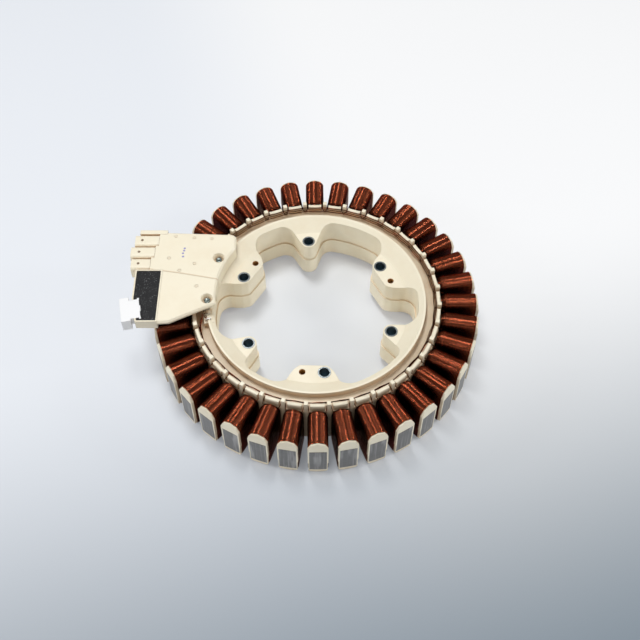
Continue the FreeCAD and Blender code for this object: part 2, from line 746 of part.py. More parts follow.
def cover_outline():
    """Plan face of the cover plate, stepped on its left round the connector barrels."""
    start = polar(COVER_INNER_R, COVER_FROM_DEG)
    middle = polar(COVER_INNER_R, (COVER_FROM_DEG + COVER_TO_DEG) / 2)
    end = polar(COVER_INNER_R, COVER_TO_DEG)
    front_right, front_left = COVER_FRONT_Y
    points = [end, V(COVER_FRONT_INSET - SHOE_R, front_right, 0), V(COVER_LEFT_X, front_left, 0)]
    points.append(V(COVER_LEFT_X, TRAY_BACK_Y + SEAT_GAP, 0))
    low_y = TRAY_BACK_Y + SEAT_GAP
    for k, root_x in enumerate(BARREL_ROOT_X):
        high_y = BARREL_FIRST_Y + (k + 0.5) * BARREL_PITCH
        points += [V(root_x, low_y, 0), V(root_x, high_y, 0)]
        low_y = high_y
    points += [V(COVER_SHOULDER_X, low_y, 0), V(COVER_SHOULDER_X, COVER_BACK_LEFT_Y, 0)]
    points += [V(start.x, COVER_BACK_Y, 0), start]
    edges = [Part.makeLine(a, b) for a, b in zip(points, points[1:])]
    edges.append(Part.Arc(start, middle, end).toShape())
    return Part.Face(Part.Wire(edges))


def terminal_cover():
    """Cover plate with a skirt that follows the dish, and two recessed screw bosses."""
    plate = lift(cover_outline(), COVER_LOW_Z, COVER_TOP_Z)
    corner = [e for e in plate.Edges if e.BoundBox.ZLength > 1 and e.BoundBox.Center.y > COVER_BACK_Y - 0.1
              and e.BoundBox.Center.x > COVER_SHOULDER_X + 1]
    plate = plate.makeFillet(COVER_CORNER_R, corner)
    brim = [e for e in plate.Edges if e.BoundBox.ZMin > COVER_TOP_Z - 0.01 and e.BoundBox.XMax > COVER_SHOULDER_X + 1]
    plate = plate.makeChamfer(COVER_EDGE, brim)
    outer = COVER_INNER_R + COVER_SKIRT
    skirt = [
        (COVER_INNER_R, dish_z(COVER_INNER_R) + SEAT_GAP),
        (outer, dish_z(outer) + SEAT_GAP),
        (outer, COVER_LOW_Z + EMBED),
        (COVER_INNER_R, COVER_LOW_Z + EMBED),
    ]
    pieces = [turned(skirt, COVER_FROM_DEG, COVER_SKIRT_TO_DEG - COVER_FROM_DEG)]
    tools = []
    for x, y, _ in screw_places():
        pieces.append(cylinder(x, y, COVER_BOSS_R, RIM_Z, COVER_LOW_Z + EMBED))
        tools.append(cylinder(x, y, SCREW_SHANK_R + SCREW_CLEAR, RIM_Z - PASS, COVER_TOP_Z))
        tools.append(Part.makeCone(RECESS_FLOOR_R, RECESS_R, RECESS_DEPTH, V(x, y, RECESS_Z), UP))
    return plate.multiFuse(pieces).cut(tools).removeSplitter()


# ---------------------------------------------------------------- power connector


def barrel_y(k):
    """Middle of barrel k."""
    return BARREL_FIRST_Y + k * BARREL_PITCH


def power_tab(k):
    """Flat tab of one phase, reaching into its barrel."""
    start = BARREL_MOUTH_X[k] + TAB_BACK
    middle = (COVER_LOW_Z + BLOCK_LOW_Z) / 2
    half = TAB_WIDTH / 2
    return block(
        start, start + TAB_LENGTH, barrel_y(k) - half, barrel_y(k) + half, middle - TAB_THICK / 2,
        middle + TAB_THICK / 2,
    )


def barrel(k):
    """One barrel of the connector, round on its two upper edges."""
    low_y = barrel_y(k) - BARREL_WIDTH / 2
    right = BARREL_ROOT_X[k] - BARREL_GAP
    plain = block(BARREL_MOUTH_X[k], right, low_y, low_y + BARREL_WIDTH, BARREL_LOW_Z, COVER_TOP_Z)
    top = [e for e in plain.Edges if e.BoundBox.ZMin > COVER_TOP_Z - 0.01 and e.BoundBox.XLength > BARREL_WIDTH]
    return plain.makeFillet(BARREL_ROUND, top)


def socket(k):
    """Room for the mating contact inside barrel k."""
    middle = (COVER_LOW_Z + BLOCK_LOW_Z) / 2
    half = SOCKET_WIDTH / 2
    mouth = BARREL_MOUTH_X[k]
    return block(
        mouth - PASS, mouth + SOCKET_DEPTH, barrel_y(k) - half, barrel_y(k) + half, middle - SOCKET_HEIGHT / 2,
        middle + SOCKET_HEIGHT / 2,
    )


def power_connector():
    """Barrels and their block under the cover, with a rib along the back."""
    numbers = range(len(BARREL_MOUTH_X))
    low_y = barrel_y(0) - BARREL_WIDTH / 2
    back_y = barrel_y(len(numbers) - 1) + BARREL_WIDTH / 2
    rib_y = barrel_y(len(numbers)) - BARREL_PITCH / 2 + BARREL_GAP
    base = block(-SHOE_R - BLOCK_REACH, BLOCK_INSET - SHOE_R, low_y, rib_y + EMBED, BLOCK_LOW_Z, COVER_LOW_Z)
    rib = block(
        -SHOE_R - SIDE_RIB_REACH, COVER_SHOULDER_X - BARREL_GAP, rib_y, back_y + SIDE_RIB_WIDTH, BLOCK_LOW_Z,
        COVER_TOP_Z,
    )
    whole = base.multiFuse([barrel(k) for k in numbers] + [rib])
    return whole.cut([socket(k) for k in numbers] + [power_tab(k) for k in numbers]).removeSplitter()


# ---------------------------------------------------------------- sensor housing and signal connector


def tray_plan():
    """Plan face of the sensor housing."""
    left = [-SHOE_R - reach for reach in TRAY_REACH]
    outline = [(TRAY_RIGHT_X, TRAY_FRONT_Y)] + list(zip(left, (TRAY_FRONT_Y, TRAY_KNEE_Y, TRAY_BACK_Y)))
    outline.append((TRAY_RIGHT_X, TRAY_BACK_Y))
    return face_of([V(x, y, 0) for x, y in outline])


def plug_box(span, low, high, margin=0.0):
    """Box of the signal connector in its own turned frame, given as (x0, x1, y0, y1)."""
    x0, x1, y0, y1 = span
    return turned_by(block(x0 - margin, x1, y0 - margin, y1 + margin, low, high), PLUG_DEG)


def plug_room():
    """Room that the connector's neck needs in the tray and in its fill."""
    return plug_box(PLUG_NECK, PLUG_NECK_LOW_Z - PLUG_GAP, COVER_TOP_Z + PASS, PLUG_GAP)


def sensor_housing():
    """Open tray that hangs on the cover's left edge, notched for the signal connector."""
    inside = tray_plan().makeOffset2D(-TRAY_WALL)
    tray = lift(tray_plan(), TRAY_LOW_Z, COVER_TOP_Z)
    shroud = plug_box(PLUG_SHROUD, PLUG_LOW_Z, COVER_TOP_Z + PASS, PLUG_GAP)
    return tray.cut([lift(inside, TRAY_LOW_Z + TRAY_FLOOR, COVER_TOP_Z + PASS), plug_room(), shroud])


def tray_layer(low, high):
    """Layer that fills the tray between two heights."""
    return lift(tray_plan().makeOffset2D(-TRAY_WALL), low, high).cut(plug_room())


def pin_places():
    return [(k - (PIN_COUNT - 1) / 2) * PIN_PITCH + (PLUG_SHROUD[2] + PLUG_SHROUD[3]) / 2 for k in range(PIN_COUNT)]


def signal_pins():
    """Row of square pins in the signal connector."""
    middle = (PLUG_LOW_Z + COVER_TOP_Z) / 2
    root = PLUG_SHROUD[0] + PLUG_WALL
    half = PIN_SIDE / 2
    pins = []
    for y in pin_places():
        pin = block(root - PIN_ROOT, root + PIN_REACH, y - half, y + half, middle - half, middle + half)
        pins.append(turned_by(pin, PLUG_DEG))
    return Part.makeCompound(pins)


def signal_connector():
    """Connector with a wide shroud open outward, and a narrower neck let into the tray."""
    neck = plug_box(PLUG_NECK, PLUG_NECK_LOW_Z, COVER_TOP_Z)
    shroud = plug_box(PLUG_SHROUD, PLUG_LOW_Z, COVER_TOP_Z)
    x0, x1, y0, y1 = PLUG_SHROUD
    room = (x1 - PLUG_SOCKET_DEPTH, x1 + PASS, y0 + PLUG_WALL, y1 - PLUG_WALL)
    mouth = plug_box(room, PLUG_LOW_Z + PLUG_WALL, COVER_TOP_Z - PLUG_WALL)
    return joined(neck, [shroud]).cut([mouth] + signal_pins().Solids)


def nodes():
    """Every piece by name."""
    board_z = TRAY_LOW_Z + TRAY_FLOOR
    made = {
        "lamination_core": lamination_core(),
        "insulator_upper": insulator_upper(),
        "insulator_lower": insulator_lower(),
        "mounting_bushes": mounting_bushes(),
        "terminal_cover": terminal_cover(),
        "cover_screws": cover_screws(),
        "power_connector": power_connector(),
        "power_tabs": Part.makeCompound([power_tab(k) for k in range(len(BARREL_MOUTH_X))]),
        "sensor_housing": sensor_housing(),
        "sensor_board": tray_layer(board_z, board_z + BOARD_THICK),
        "potting": tray_layer(board_z + BOARD_THICK, COVER_TOP_Z - POTTING_SUNK),
        "signal_connector": signal_connector(),
        "signal_pins": signal_pins(),
        "phase_terminals": phase_terminals(),
    }
    first = coil()
    for number, deg in enumerate(TOOTH_DEGS, 1):
        made[f"coil_{number:02d}"] = turned_by(first, deg)
    for lay, phase in enumerate(PHASE_NAMES):
        made[f"crossover_{phase}"] = crossover(lay)
    return made


def main():
    os.makedirs("parts", exist_ok=True)
    for name, shape in nodes().items():
        if not shape.isValid():
            print("not valid:", name)
        shape.exportStep(f"parts/{name}.step")


if __name__ == "__main__":
    main()
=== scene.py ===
"""Wound stator of an outer-rotor direct-drive motor, dressed over its CAD frame.

Laid out as a Blender add-on: every group of pieces has its own operator, and the sizes and colours that a user
would change are scene properties. Lengths are in metres.
"""

import math

import bmesh
import bpy
from mathutils import Euler, Matrix, Vector


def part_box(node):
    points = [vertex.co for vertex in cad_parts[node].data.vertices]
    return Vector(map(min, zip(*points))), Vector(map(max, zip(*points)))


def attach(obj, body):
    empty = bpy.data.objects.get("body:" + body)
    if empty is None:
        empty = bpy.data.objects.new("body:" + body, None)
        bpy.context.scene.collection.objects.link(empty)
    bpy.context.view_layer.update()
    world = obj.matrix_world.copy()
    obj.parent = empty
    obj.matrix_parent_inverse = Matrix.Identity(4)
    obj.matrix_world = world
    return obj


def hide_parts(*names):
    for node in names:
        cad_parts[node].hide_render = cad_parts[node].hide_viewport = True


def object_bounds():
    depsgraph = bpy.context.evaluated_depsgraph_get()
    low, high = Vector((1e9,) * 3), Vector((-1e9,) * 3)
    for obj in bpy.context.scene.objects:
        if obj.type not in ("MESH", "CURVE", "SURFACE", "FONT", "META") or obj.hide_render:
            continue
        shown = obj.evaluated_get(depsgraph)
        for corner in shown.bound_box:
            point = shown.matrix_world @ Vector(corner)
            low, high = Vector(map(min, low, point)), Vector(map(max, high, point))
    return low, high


bl_info = {
    "name": "Wound motor stator",
    "version": (1, 0, 0),
    "blender": (4, 5, 0),
    "location": "3D View > Sidebar > Stator",
    "description": "Windings, finishes and studio for a stator's CAD frame",
    "category": "Object",
}

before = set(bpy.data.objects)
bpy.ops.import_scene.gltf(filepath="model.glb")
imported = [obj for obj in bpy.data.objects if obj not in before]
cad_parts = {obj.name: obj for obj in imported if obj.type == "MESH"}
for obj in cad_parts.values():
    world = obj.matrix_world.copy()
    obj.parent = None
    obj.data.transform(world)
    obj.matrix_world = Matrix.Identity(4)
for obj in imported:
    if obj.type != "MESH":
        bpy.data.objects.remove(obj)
CAD_LOW, CAD_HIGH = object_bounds()
MM = 0.001
TEETH = 36
COIL_NODES = [f"coil_{number:02d}" for number in range(1, TEETH + 1)]
FIRST_LOW, FIRST_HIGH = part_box(COIL_NODES[0])
FIRST_TOOTH = math.atan2(FIRST_LOW.y + FIRST_HIGH.y, FIRST_LOW.x + FIRST_HIGH.x)
COIL_INNER, COIL_OUTER = FIRST_LOW.x, FIRST_HIGH.x
COIL_HALF = (FIRST_HIGH.y - FIRST_LOW.y - (COIL_OUTER - COIL_INNER) * math.sin(FIRST_TOOTH)) / 2
COVER_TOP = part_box("terminal_cover")[1].z
TOOTH_STEP = 2 * math.pi / TEETH
STRAY_TURNS = (0, 0, 1, 0, 3, 0, 0, 2, 0, 0, 1, 0)  # crossed turns on each coil, repeated round the ring


# ---------------------------------------------------------------- sizes and colours


def length(name, description, default, **limits):
    """Scene property in metres."""
    return bpy.props.FloatProperty(name=name, description=description, default=default, unit="LENGTH", **limits)


def tint(name, description, default):
    """Scene property that holds a colour."""
    return bpy.props.FloatVectorProperty(
        name=name, description=description, default=default, subtype="COLOR", size=3, min=0.0, max=1.0
    )


class StatorWinding(bpy.types.PropertyGroup):
    """Sizes of the coils and of the wires between them."""

    wire: length("Wire", "Diameter of the enamelled wire", 1.06 * MM, min=0.2 * MM, max=3 * MM)
    turns: bpy.props.IntProperty(name="Turns", description="Turns in a coil's outer layer", default=26, min=4, max=60)
    crown: length("Crown", "Height of the bowed top of a coil", 7.0 * MM)
    belly: length("Belly", "Height of the bowed underside of a coil", 4.0 * MM)
    proud: length("Proud", "How far the outer turns stand over the bulk of the coil", 0.18 * MM)
    waver: length("Waver", "How far a turn strays along the tooth", 0.03 * MM)
    end_scale: bpy.props.FloatProperty(
        name="End scale", description="Size of a coil's section at its inner end", default=0.90, min=0.5, max=1.0
    )
    crossing: length("Crossing wire", "Diameter of the wires between the coils", 0.62 * MM)
    peg_radius: length("Peg radius", "Distance from the axis to the inner face of the pegs", 97.4 * MM)


class StatorFinish(bpy.types.PropertyGroup):
    """Colours of the finishes."""

    moulding: tint("Moulding", "Cream glass-filled plastic", (0.93, 0.855, 0.67))
    # Painted shade colour for crevices in the moulding.
    moulding_shade: tint("Moulding in crevices", "The same plastic where little light gets in", (0.60, 0.37, 0.185))
    wire: tint("Wire", "Enamelled copper", (0.37, 0.095, 0.045))
    # Painted shade colour for the wire between the turns and between the coils.
    wire_shade: tint("Wire in gaps", "Enamelled copper between the turns", (0.014, 0.003, 0.0015))
    steel: tint("Steel", "Cut edges of the laminations", (0.205, 0.20, 0.195))
    plating: tint("Plating", "Zinc-plated steel", (0.30, 0.34, 0.35))
    # Painted shade colour, blue-green, down the bushes' bores.
    bore: tint("Bore", "Inside of the bushes", (0.20, 0.30, 0.36))
    potting: tint("Potting", "Fill over the sensors", (0.010, 0.010, 0.011))
    nylon: tint("Nylon", "White connector", (0.93, 0.93, 0.93))
    ink: tint("Ink", "Inspector's ink dots", (0.10, 0.12, 0.50))
    floor: tint("Floor", "Studio floor", (0.80, 0.83, 0.87))


class StatorStudio(bpy.types.PropertyGroup):
    """Camera and lamps."""

    elevation: bpy.props.FloatProperty(
        name="Elevation", description="Camera's angle over the floor", default=math.radians(55.307), subtype="ANGLE"
    )
    distance: length("Distance", "From the camera to the point it looks at", 0.79927)
    lens: bpy.props.FloatProperty(name="Lens", description="Focal length in millimetres", default=53.23)
    key: bpy.props.FloatProperty(name="Key lamp", description="Power of the key lamp", default=5.2, unit="POWER")
    fill: bpy.props.FloatProperty(name="Fill lamp", description="Power of the fill lamp", default=1.5, unit="POWER")
    strip: bpy.props.FloatProperty(
        name="Strip lamps", description="Power of each of the two narrow side lamps", default=2.9, unit="POWER"
    )
    sky: bpy.props.FloatProperty(name="Sky", description="Strength of the even light from all round", default=0.22)


GROUPS = {"stator_winding": StatorWinding, "stator_finish": StatorFinish, "stator_studio": StatorStudio}


# ---------------------------------------------------------------- node helpers


def put(tree, kind, inputs=None, **settings):
    """Adds a node, sets it up, and fills or links its inputs."""
    made = tree.nodes.new(kind)
    for name, value in settings.items():
        setattr(made, name, value)
    for name, value in (inputs or {}).items():
        if isinstance(value, bpy.types.NodeSocket):
            tree.links.new(value, made.inputs[name])
        else:
            made.inputs[name].default_value = value
    return made


def maths(tree, operation, first, second=0.0, third=0.0):
    """Result of a Math node."""
    return put(tree, "ShaderNodeMath", {0: first, 1: second, 2: third}, operation=operation).outputs[0]


def vector_maths(tree, operation, first, second=(0.0, 0.0, 0.0)):
    """Result of a Vector Math node: a number where the operation gives one, else a vector."""
    made = put(tree, "ShaderNodeVectorMath", {0: first, 1: second}, operation=operation)
    return made.outputs[1] if operation in ("LENGTH", "DOT_PRODUCT", "DISTANCE") else made.outputs[0]


def remap(tree, value, low, high, start=0.0, end=1.0):
    """Value eased from one range to another."""
    inputs = {0: value, 1: low, 2: high, 3: start, 4: end}
    return put(tree, "ShaderNodeMapRange", inputs, interpolation_type="SMOOTHSTEP").outputs[0]


def blended(tree, mask, first, second, mode="MIX"):
    """Colour between two colours by a mask."""
    made = put(tree, "ShaderNodeMix", {0: mask}, data_type="RGBA", blend_type=mode)
    for socket, value in ((6, first), (7, second)):
        if isinstance(value, bpy.types.NodeSocket):
            tree.links.new(value, made.inputs[socket])
        else:
            made.inputs[socket].default_value = (*value, 1.0)
    return made.outputs[2]


def noise(tree, vector, scale, detail=2.0, roughness=0.5):
    """Value of a noise pattern."""
    inputs = {"Vector": vector, "Scale": scale, "Detail": detail, "Roughness": roughness}
    return put(tree, "ShaderNodeTexNoise", inputs).outputs[0]


def bumped(tree, height, distance, normal=None, strength=1.0):
    """Normal raised by a height."""
    inputs = {"Strength": strength, "Distance": distance, "Height": height}
    if normal is not None:
        inputs["Normal"] = normal
    return put(tree, "ShaderNodeBump", inputs).outputs[0]


def new_group(name, kind, inputs, outputs):
    """Empty node group with named sockets, given as (name, type, default)."""
    tree = bpy.data.node_groups.new(name, kind)
    for label, socket_type, default in inputs:
        socket = tree.interface.new_socket(name=label, in_out="INPUT", socket_type=socket_type)
        if default is not None:
            socket.default_value = default
    for label, socket_type in outputs:
        tree.interface.new_socket(name=label, in_out="OUTPUT", socket_type=socket_type)
    return tree, tree.nodes.new("NodeGroupInput"), tree.nodes.new("NodeGroupOutput")


def placed_group(tree, name, **inputs):
    """Adds a node that holds a named shader group, and fills or links its inputs."""
    made = tree.nodes.new("ShaderNodeGroup")
    made.node_tree = bpy.data.node_groups[name]
    for label, value in inputs.items():
        if isinstance(value, bpy.types.NodeSocket):
            tree.links.new(value, made.inputs[label])
        else:
            made.inputs[label].default_value = value
    return made


FLOAT, VECTOR = "NodeSocketFloat", "NodeSocketVector"


def build_shader_groups():
    """Effects that more than one finish uses."""
    tree, source, sink = new_group("Soft edge", "ShaderNodeTree", [("Radius", FLOAT, 0.0005)], [("Normal", VECTOR)])
    soft = put(tree, "ShaderNodeBevel", {"Radius": source.outputs[0]}, samples=4)
    tree.links.new(soft.outputs[0], sink.inputs[0])

    # Occlusion mask that the finishes use to paint shade into crevices.
    tree, source, sink = new_group("Crevice shade", "ShaderNodeTree", [("Distance", FLOAT, 0.006)], [("Mask", FLOAT)])
    shade = put(tree, "ShaderNodeAmbientOcclusion", {"Distance": source.outputs[0]}, samples=6)
    tree.links.new(maths(tree, "SUBTRACT", 1.0, shade.outputs[1]), sink.inputs[0])

    sockets = [("Fine", FLOAT, 2500.0), ("Broad", FLOAT, 60.0)]
    tree, source, sink = new_group("Grain", "ShaderNodeTree", sockets, [("Fine", FLOAT), ("Broad", FLOAT)])
    where = tree.nodes.new("ShaderNodeTexCoord").outputs["Object"]
    tree.links.new(noise(tree, where, source.outputs[0], 2.0), sink.inputs[0])
    tree.links.new(noise(tree, where, source.outputs[1], 4.0, 0.6), sink.inputs[1])

    sockets = [("Centre", VECTOR, None), ("Radius", FLOAT, 0.001), ("Softness", FLOAT, 0.0002)]
    tree, source, sink = new_group("Round mark", "ShaderNodeTree", sockets, [("Mask", FLOAT)])
    where = tree.nodes.new("ShaderNodeTexCoord").outputs["Object"]
    away = vector_maths(tree, "DISTANCE", where, source.outputs[0])
    inner = maths(tree, "SUBTRACT", source.outputs[1], source.outputs[2])
    mask = put(tree, "ShaderNodeMapRange", {0: away, 1: source.outputs[1], 2: inner, 3: 0.0, 4: 1.0})
    tree.links.new(mask.outputs[0], sink.inputs[0])


# ---------------------------------------------------------------- finishes


def finish(name, **plain):
    """New material: (material, its tree, its Principled node), with plain values on the shader's sockets."""
    material = bpy.data.materials.new(name)
    material.use_nodes = True
    tree = material.node_tree
    skin = tree.nodes["Principled BSDF"]
    for label, value in plain.items():
        skin.inputs[label.replace("_", " ")].default_value = value
    return material, tree, skin


def joined_masks(tree, masks):
    """Mask that covers what any of the masks covers."""
    total = masks[0]
    for mask in masks[1:]:
        total = maths(tree, "MAXIMUM", total, mask)
    return total


def round_marks(tree, places, height, radius, softness):
    """Mask of round marks at (x, y) places, in millimetres, on a level face."""
    masks = []
    for x, y in places:
        mark = placed_group(tree, "Round mark", Centre=(x * MM, y * MM, height), Radius=radius, Softness=softness)
        masks.append(mark.outputs[0])
    return joined_masks(tree, masks)


def moulded(name, colours, edge=0.55 * MM, reach=6 * MM):
    """Cream glass-filled plastic: satin, faintly mottled, with painted tan shade in crevices. Returns the parts for
    more detail.
    """
    material, tree, skin = finish(name, IOR=1.48)
    grain = placed_group(tree, "Grain", Fine=1900.0, Broad=34.0)
    crevice = placed_group(tree, "Crevice shade", Distance=reach)
    soft = placed_group(tree, "Soft edge", Radius=edge)
    # Painted shade: the cream turns towards the tan shade colour where the occlusion mask finds crevices.
    deep = remap(tree, crevice.outputs[0], 0.12, 0.88, 0.0, 0.8)
    tone = blended(tree, deep, tuple(colours.moulding), tuple(colours.moulding_shade))
    fleck = remap(tree, grain.outputs[1], 0.35, 0.75, 0.0, 0.16)
    tone = blended(tree, fleck, tone, (0.72, 0.56, 0.36), "MULTIPLY")
    rough = remap(tree, grain.outputs[1], 0.3, 0.7, 0.36, 0.48)
    normal = bumped(tree, grain.outputs[0], 0.012 * MM, soft.outputs[0], 0.5)
    tree.links.new(tone, skin.inputs["Base Color"])
    tree.links.new(rough, skin.inputs["Roughness"])
    tree.links.new(normal, skin.inputs["Normal"])
    return material, tree, skin, tone, normal


def cover_plastic(colours):
    """The cover's plastic, with ejector dimples, ink dots and the low step across its front, and painted shade in the
    dimples and along the foot of the step.
    """
    material, tree, skin, tone, normal = moulded("Cream moulding, cover", colours, 0.9 * MM)
    dimples = [
        (-120.7, 34.4), (-99.3, 28.7), (-111.2, 21.8), (-101.4, 56.0), (-86.8, 54.9), (-116.8, 57.4), (-96.2, 5.9)
    ]
    dots = [(-108.6, 44.6), (-108.9, 42.2), (-109.6, 39.4), (-109.3, 36.0)]
    pits = round_marks(tree, dimples, COVER_TOP, 1.5 * MM, 0.5 * MM)
    rims = round_marks(tree, dimples, COVER_TOP, 1.9 * MM, 0.3 * MM)
    ink = round_marks(tree, dots, COVER_TOP, 1.15 * MM, 0.45 * MM)
    where = tree.nodes.new("ShaderNodeTexCoord").outputs["Object"]
    sides = []
    for along, offset in (((0.197, 0.980, 0.0), -3.40), ((0.160, 0.987, 0.0), 0.78)):
        reach = vector_maths(tree, "DOT_PRODUCT", where, along)
        sides.append(maths(tree, "SUBTRACT", reach, offset * MM))
    front = maths(tree, "MAXIMUM", sides[0], sides[1])
    step = remap(tree, front, 0.45 * MM, -0.45 * MM)
    lip = maths(tree, "MULTIPLY", remap(tree, front, 1.3 * MM, 0.5 * MM), remap(tree, front, -0.2 * MM, 0.5 * MM))
    ring = maths(tree, "SUBTRACT", rims, pits)
    height = maths(tree, "SUBTRACT", maths(tree, "MULTIPLY", ring, 0.6), maths(tree, "MULTIPLY", pits, 1.5))
    height = maths(tree, "ADD", height, maths(tree, "MULTIPLY", step, 2.2))
    # Painted shade: the shade colour in a band along the foot of the step across the front, and lightly in the
    # dimples.
    tone = blended(tree, maths(tree, "MULTIPLY", lip, 0.55), tone, tuple(colours.moulding_shade))
    tone = blended(tree, maths(tree, "MULTIPLY", pits, 0.22), tone, tuple(colours.moulding_shade))
    tone = blended(tree, maths(tree, "MULTIPLY", ink, 0.75), tone, tuple(colours.ink))
    tree.links.new(tone, skin.inputs["Base Color"])
    tree.links.new(bumped(tree, height, 0.25 * MM, normal), skin.inputs["Normal"])
    return material


def connector_plastic(colours):
    """The power connector's plastic, with the small latch windows on its barrels painted in as dark brown shade."""
    material, tree, skin, tone, normal = moulded("Cream moulding, connector", colours, 0.5 * MM)
    windows = round_marks(tree, [(-144.5, 53.4), (-146.0, 41.1), (-145.4, 28.9)], COVER_TOP, 1.25 * MM, 0.35 * MM)
    # Painted shade: dark brown in the latch windows; the bump only dents them.
    tone = blended(tree, maths(tree, "MULTIPLY", windows, 0.9), tone, (0.16, 0.075, 0.03))
    tree.links.new(tone, skin.inputs["Base Color"])
    tree.links.new(bumped(tree, maths(tree, "SUBTRACT", 1.0, windows), 0.5 * MM, normal), skin.inputs["Normal"])
    return material


def wire_enamel(colours, name, share=1.0):
    """Enamelled copper, glossy over a red-brown metal, nearly black where turns and coils shade each other."""
    material, tree, skin = finish(name, Metallic=0.9, Roughness=0.18, Specular_Tint=(0.5, 0.2, 0.1, 1.0))
    grain = placed_group(tree, "Grain", Fine=420.0, Broad=70.0)
    crevice = placed_group(tree, "Crevice shade", Distance=15 * MM)
    deep = remap(tree, crevice.outputs[0], 0.22, 0.56)
    # Painted shade: a share below 1 darkens the whole wire, for wire that lies under the turns or in the channels
    # between the coils.
    tone = blended(tree, deep, tuple(Vector(colours.wire) * share), tuple(colours.wire_shade))
    tone = blended(tree, remap(tree, grain.outputs[1], 0.35, 0.72, 0.0, 0.22), tone, (0.55, 0.42, 0.36), "MULTIPLY")
    tree.links.new(tone, skin.inputs["Base Color"])
    tree.links.new(remap(tree, grain.outputs[0], 0.3, 0.7, 0.14, 0.2), skin.inputs["Roughness"])
    return material


def lamination_steel(colours):
    """Cut edges of stacked sheets: dull grey, ruled level at the sheets' pitch."""
    material, tree, skin = finish("Electrical steel", Metallic=0.45, Roughness=0.45)
    where = tree.nodes.new("ShaderNodeTexCoord").outputs["Object"]
    level = put(tree, "ShaderNodeMapping", {"Vector": where, "Scale": (6.0, 6.0, 1000.0)}).outputs[0]
    sheets = noise(tree, level, 2.0, 1.0)
    upright = put(tree, "ShaderNodeMapping", {"Vector": where, "Scale": (620.0, 620.0, 18.0)}).outputs[0]
    wipes = noise(tree, upright, 1.0, 3.0)
    broad = put(tree, "ShaderNodeMapping", {"Vector": where, "Scale": (160.0, 160.0, 30.0)}).outputs[0]
    patches = noise(tree, broad, 1.0, 2.0)
    soft = placed_group(tree, "Soft edge", Radius=0.25 * MM)
    crevice = placed_group(tree, "Crevice shade", Distance=5 * MM)
    grey = Vector(colours.steel)
    tone = blended(tree, remap(tree, sheets, 0.32, 0.68), tuple(grey * 0.9), tuple(grey * 1.06))
    tone = blended(tree, remap(tree, wipes, 0.45, 0.75, 0.0, 0.7), tone, tuple(grey * 2.2))
    tone = blended(tree, remap(tree, wipes, 0.42, 0.25, 0.0, 0.6), tone, tuple(grey * 0.5))
    tone = blended(tree, remap(tree, patches, 0.55, 0.72, 0.0, 0.7), tone, tuple(grey * 2.4))
    # Painted shade: near black in the steel's crevices.
    tone = blended(tree, remap(tree, crevice.outputs[0], 0.3, 1.0), tone, (0.05, 0.045, 0.04))
    tree.links.new(tone, skin.inputs["Base Color"])
    tree.links.new(remap(tree, wipes, 0.3, 0.7, 0.36, 0.55), skin.inputs["Roughness"])
    tree.links.new(bumped(tree, sheets, 0.03 * MM, soft.outputs[0]), skin.inputs["Normal"])
    return material


def plated_metal(name, tone, rough=0.28, edge=0.2 * MM):
    """Plated metal, softly worn along its edges."""
    material, tree, skin = finish(name, Metallic=0.9)
    grain = placed_group(tree, "Grain", Fine=2600.0, Broad=500.0)
    soft = placed_group(tree, "Soft edge", Radius=edge)
    mottled = blended(tree, grain.outputs[1], tuple(Vector(tone) * 0.75), tuple(Vector(tone) * 1.2))
    tree.links.new(mottled, skin.inputs["Base Color"])
    tree.links.new(remap(tree, grain.outputs[0], 0.3, 0.7, rough - 0.06, rough + 0.1), skin.inputs["Roughness"])
    tree.links.new(bumped(tree, grain.outputs[0], 0.02 * MM, soft.outputs[0]), skin.inputs["Normal"])
    return material, tree, skin, mottled


def bush_metal(colours):
    """Plated bush: bright at its rim, with painted shade that darkens it to blue-green down its bore."""
    material, tree, skin, mottled = plated_metal("Plated bush", tuple(colours.plating))
    where = tree.nodes.new("ShaderNodeTexCoord").outputs["Object"]
    height = put(tree, "ShaderNodeSeparateXYZ", {0: where}).outputs[2]
    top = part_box("mounting_bushes")[1].z
    # Painted shade: the colour darkens to the bore colour over the top nine millimetres of the bush.
    painted_shade_ramp = remap(tree, height, top - 0.2 * MM, top - 9 * MM)
    tree.links.new(blended(tree, painted_shade_ramp, mottled, tuple(colours.bore)), skin.inputs["Base Color"])
    return material


def speckled_potting(colours):
    """Potting compound: nearly black, with pale specks and a soft sheen."""
    material, tree, skin = finish("Potting compound", Specular_IOR_Level=0.28)
    grain = placed_group(tree, "Grain", Fine=1500.0, Broad=160.0)
    tone = blended(tree, remap(tree, grain.outputs[0], 0.66, 0.73), tuple(colours.potting), (0.42, 0.42, 0.43))
    tree.links.new(tone, skin.inputs["Base Color"])
    tree.links.new(remap(tree, grain.outputs[1], 0.3, 0.7, 0.52, 0.62), skin.inputs["Roughness"])
    tree.links.new(bumped(tree, grain.outputs[0], 0.05 * MM), skin.inputs["Normal"])
    return material


def white_nylon(colours):
    """White connector plastic, with painted grey shade in its recesses."""
    material, tree, skin = finish("White nylon", IOR=1.53)
    grain = placed_group(tree, "Grain", Fine=2000.0, Broad=90.0)
    crevice = placed_group(tree, "Crevice shade", Distance=4 * MM)
    soft = placed_group(tree, "Soft edge", Radius=0.4 * MM)
    # Painted shade: grey where the occlusion mask finds recesses.
    tone = blended(tree, remap(tree, crevice.outputs[0], 0.3, 1.0), tuple(colours.nylon), (0.45, 0.45, 0.46))
    tree.links.new(tone, skin.inputs["Base Color"])
    tree.links.new(remap(tree, grain.outputs[1], 0.3, 0.7, 0.32, 0.45), skin.inputs["Roughness"])
    tree.links.new(bumped(tree, grain.outputs[0], 0.012 * MM, soft.outputs[0]), skin.inputs["Normal"])
    return material


def green_board():
    """Circuit board under its solder mask."""
    material, tree, skin = finish("Solder mask")
    grain = placed_group(tree, "Grain", Fine=900.0, Broad=200.0)
    tone = blended(tree, grain.outputs[1], (0.010, 0.09, 0.03), (0.02, 0.16, 0.06))
    tree.links.new(tone, skin.inputs["Base Color"])
    tree.links.new(remap(tree, grain.outputs[0], 0.3, 0.7, 0.25, 0.4), skin.inputs["Roughness"])
    return material


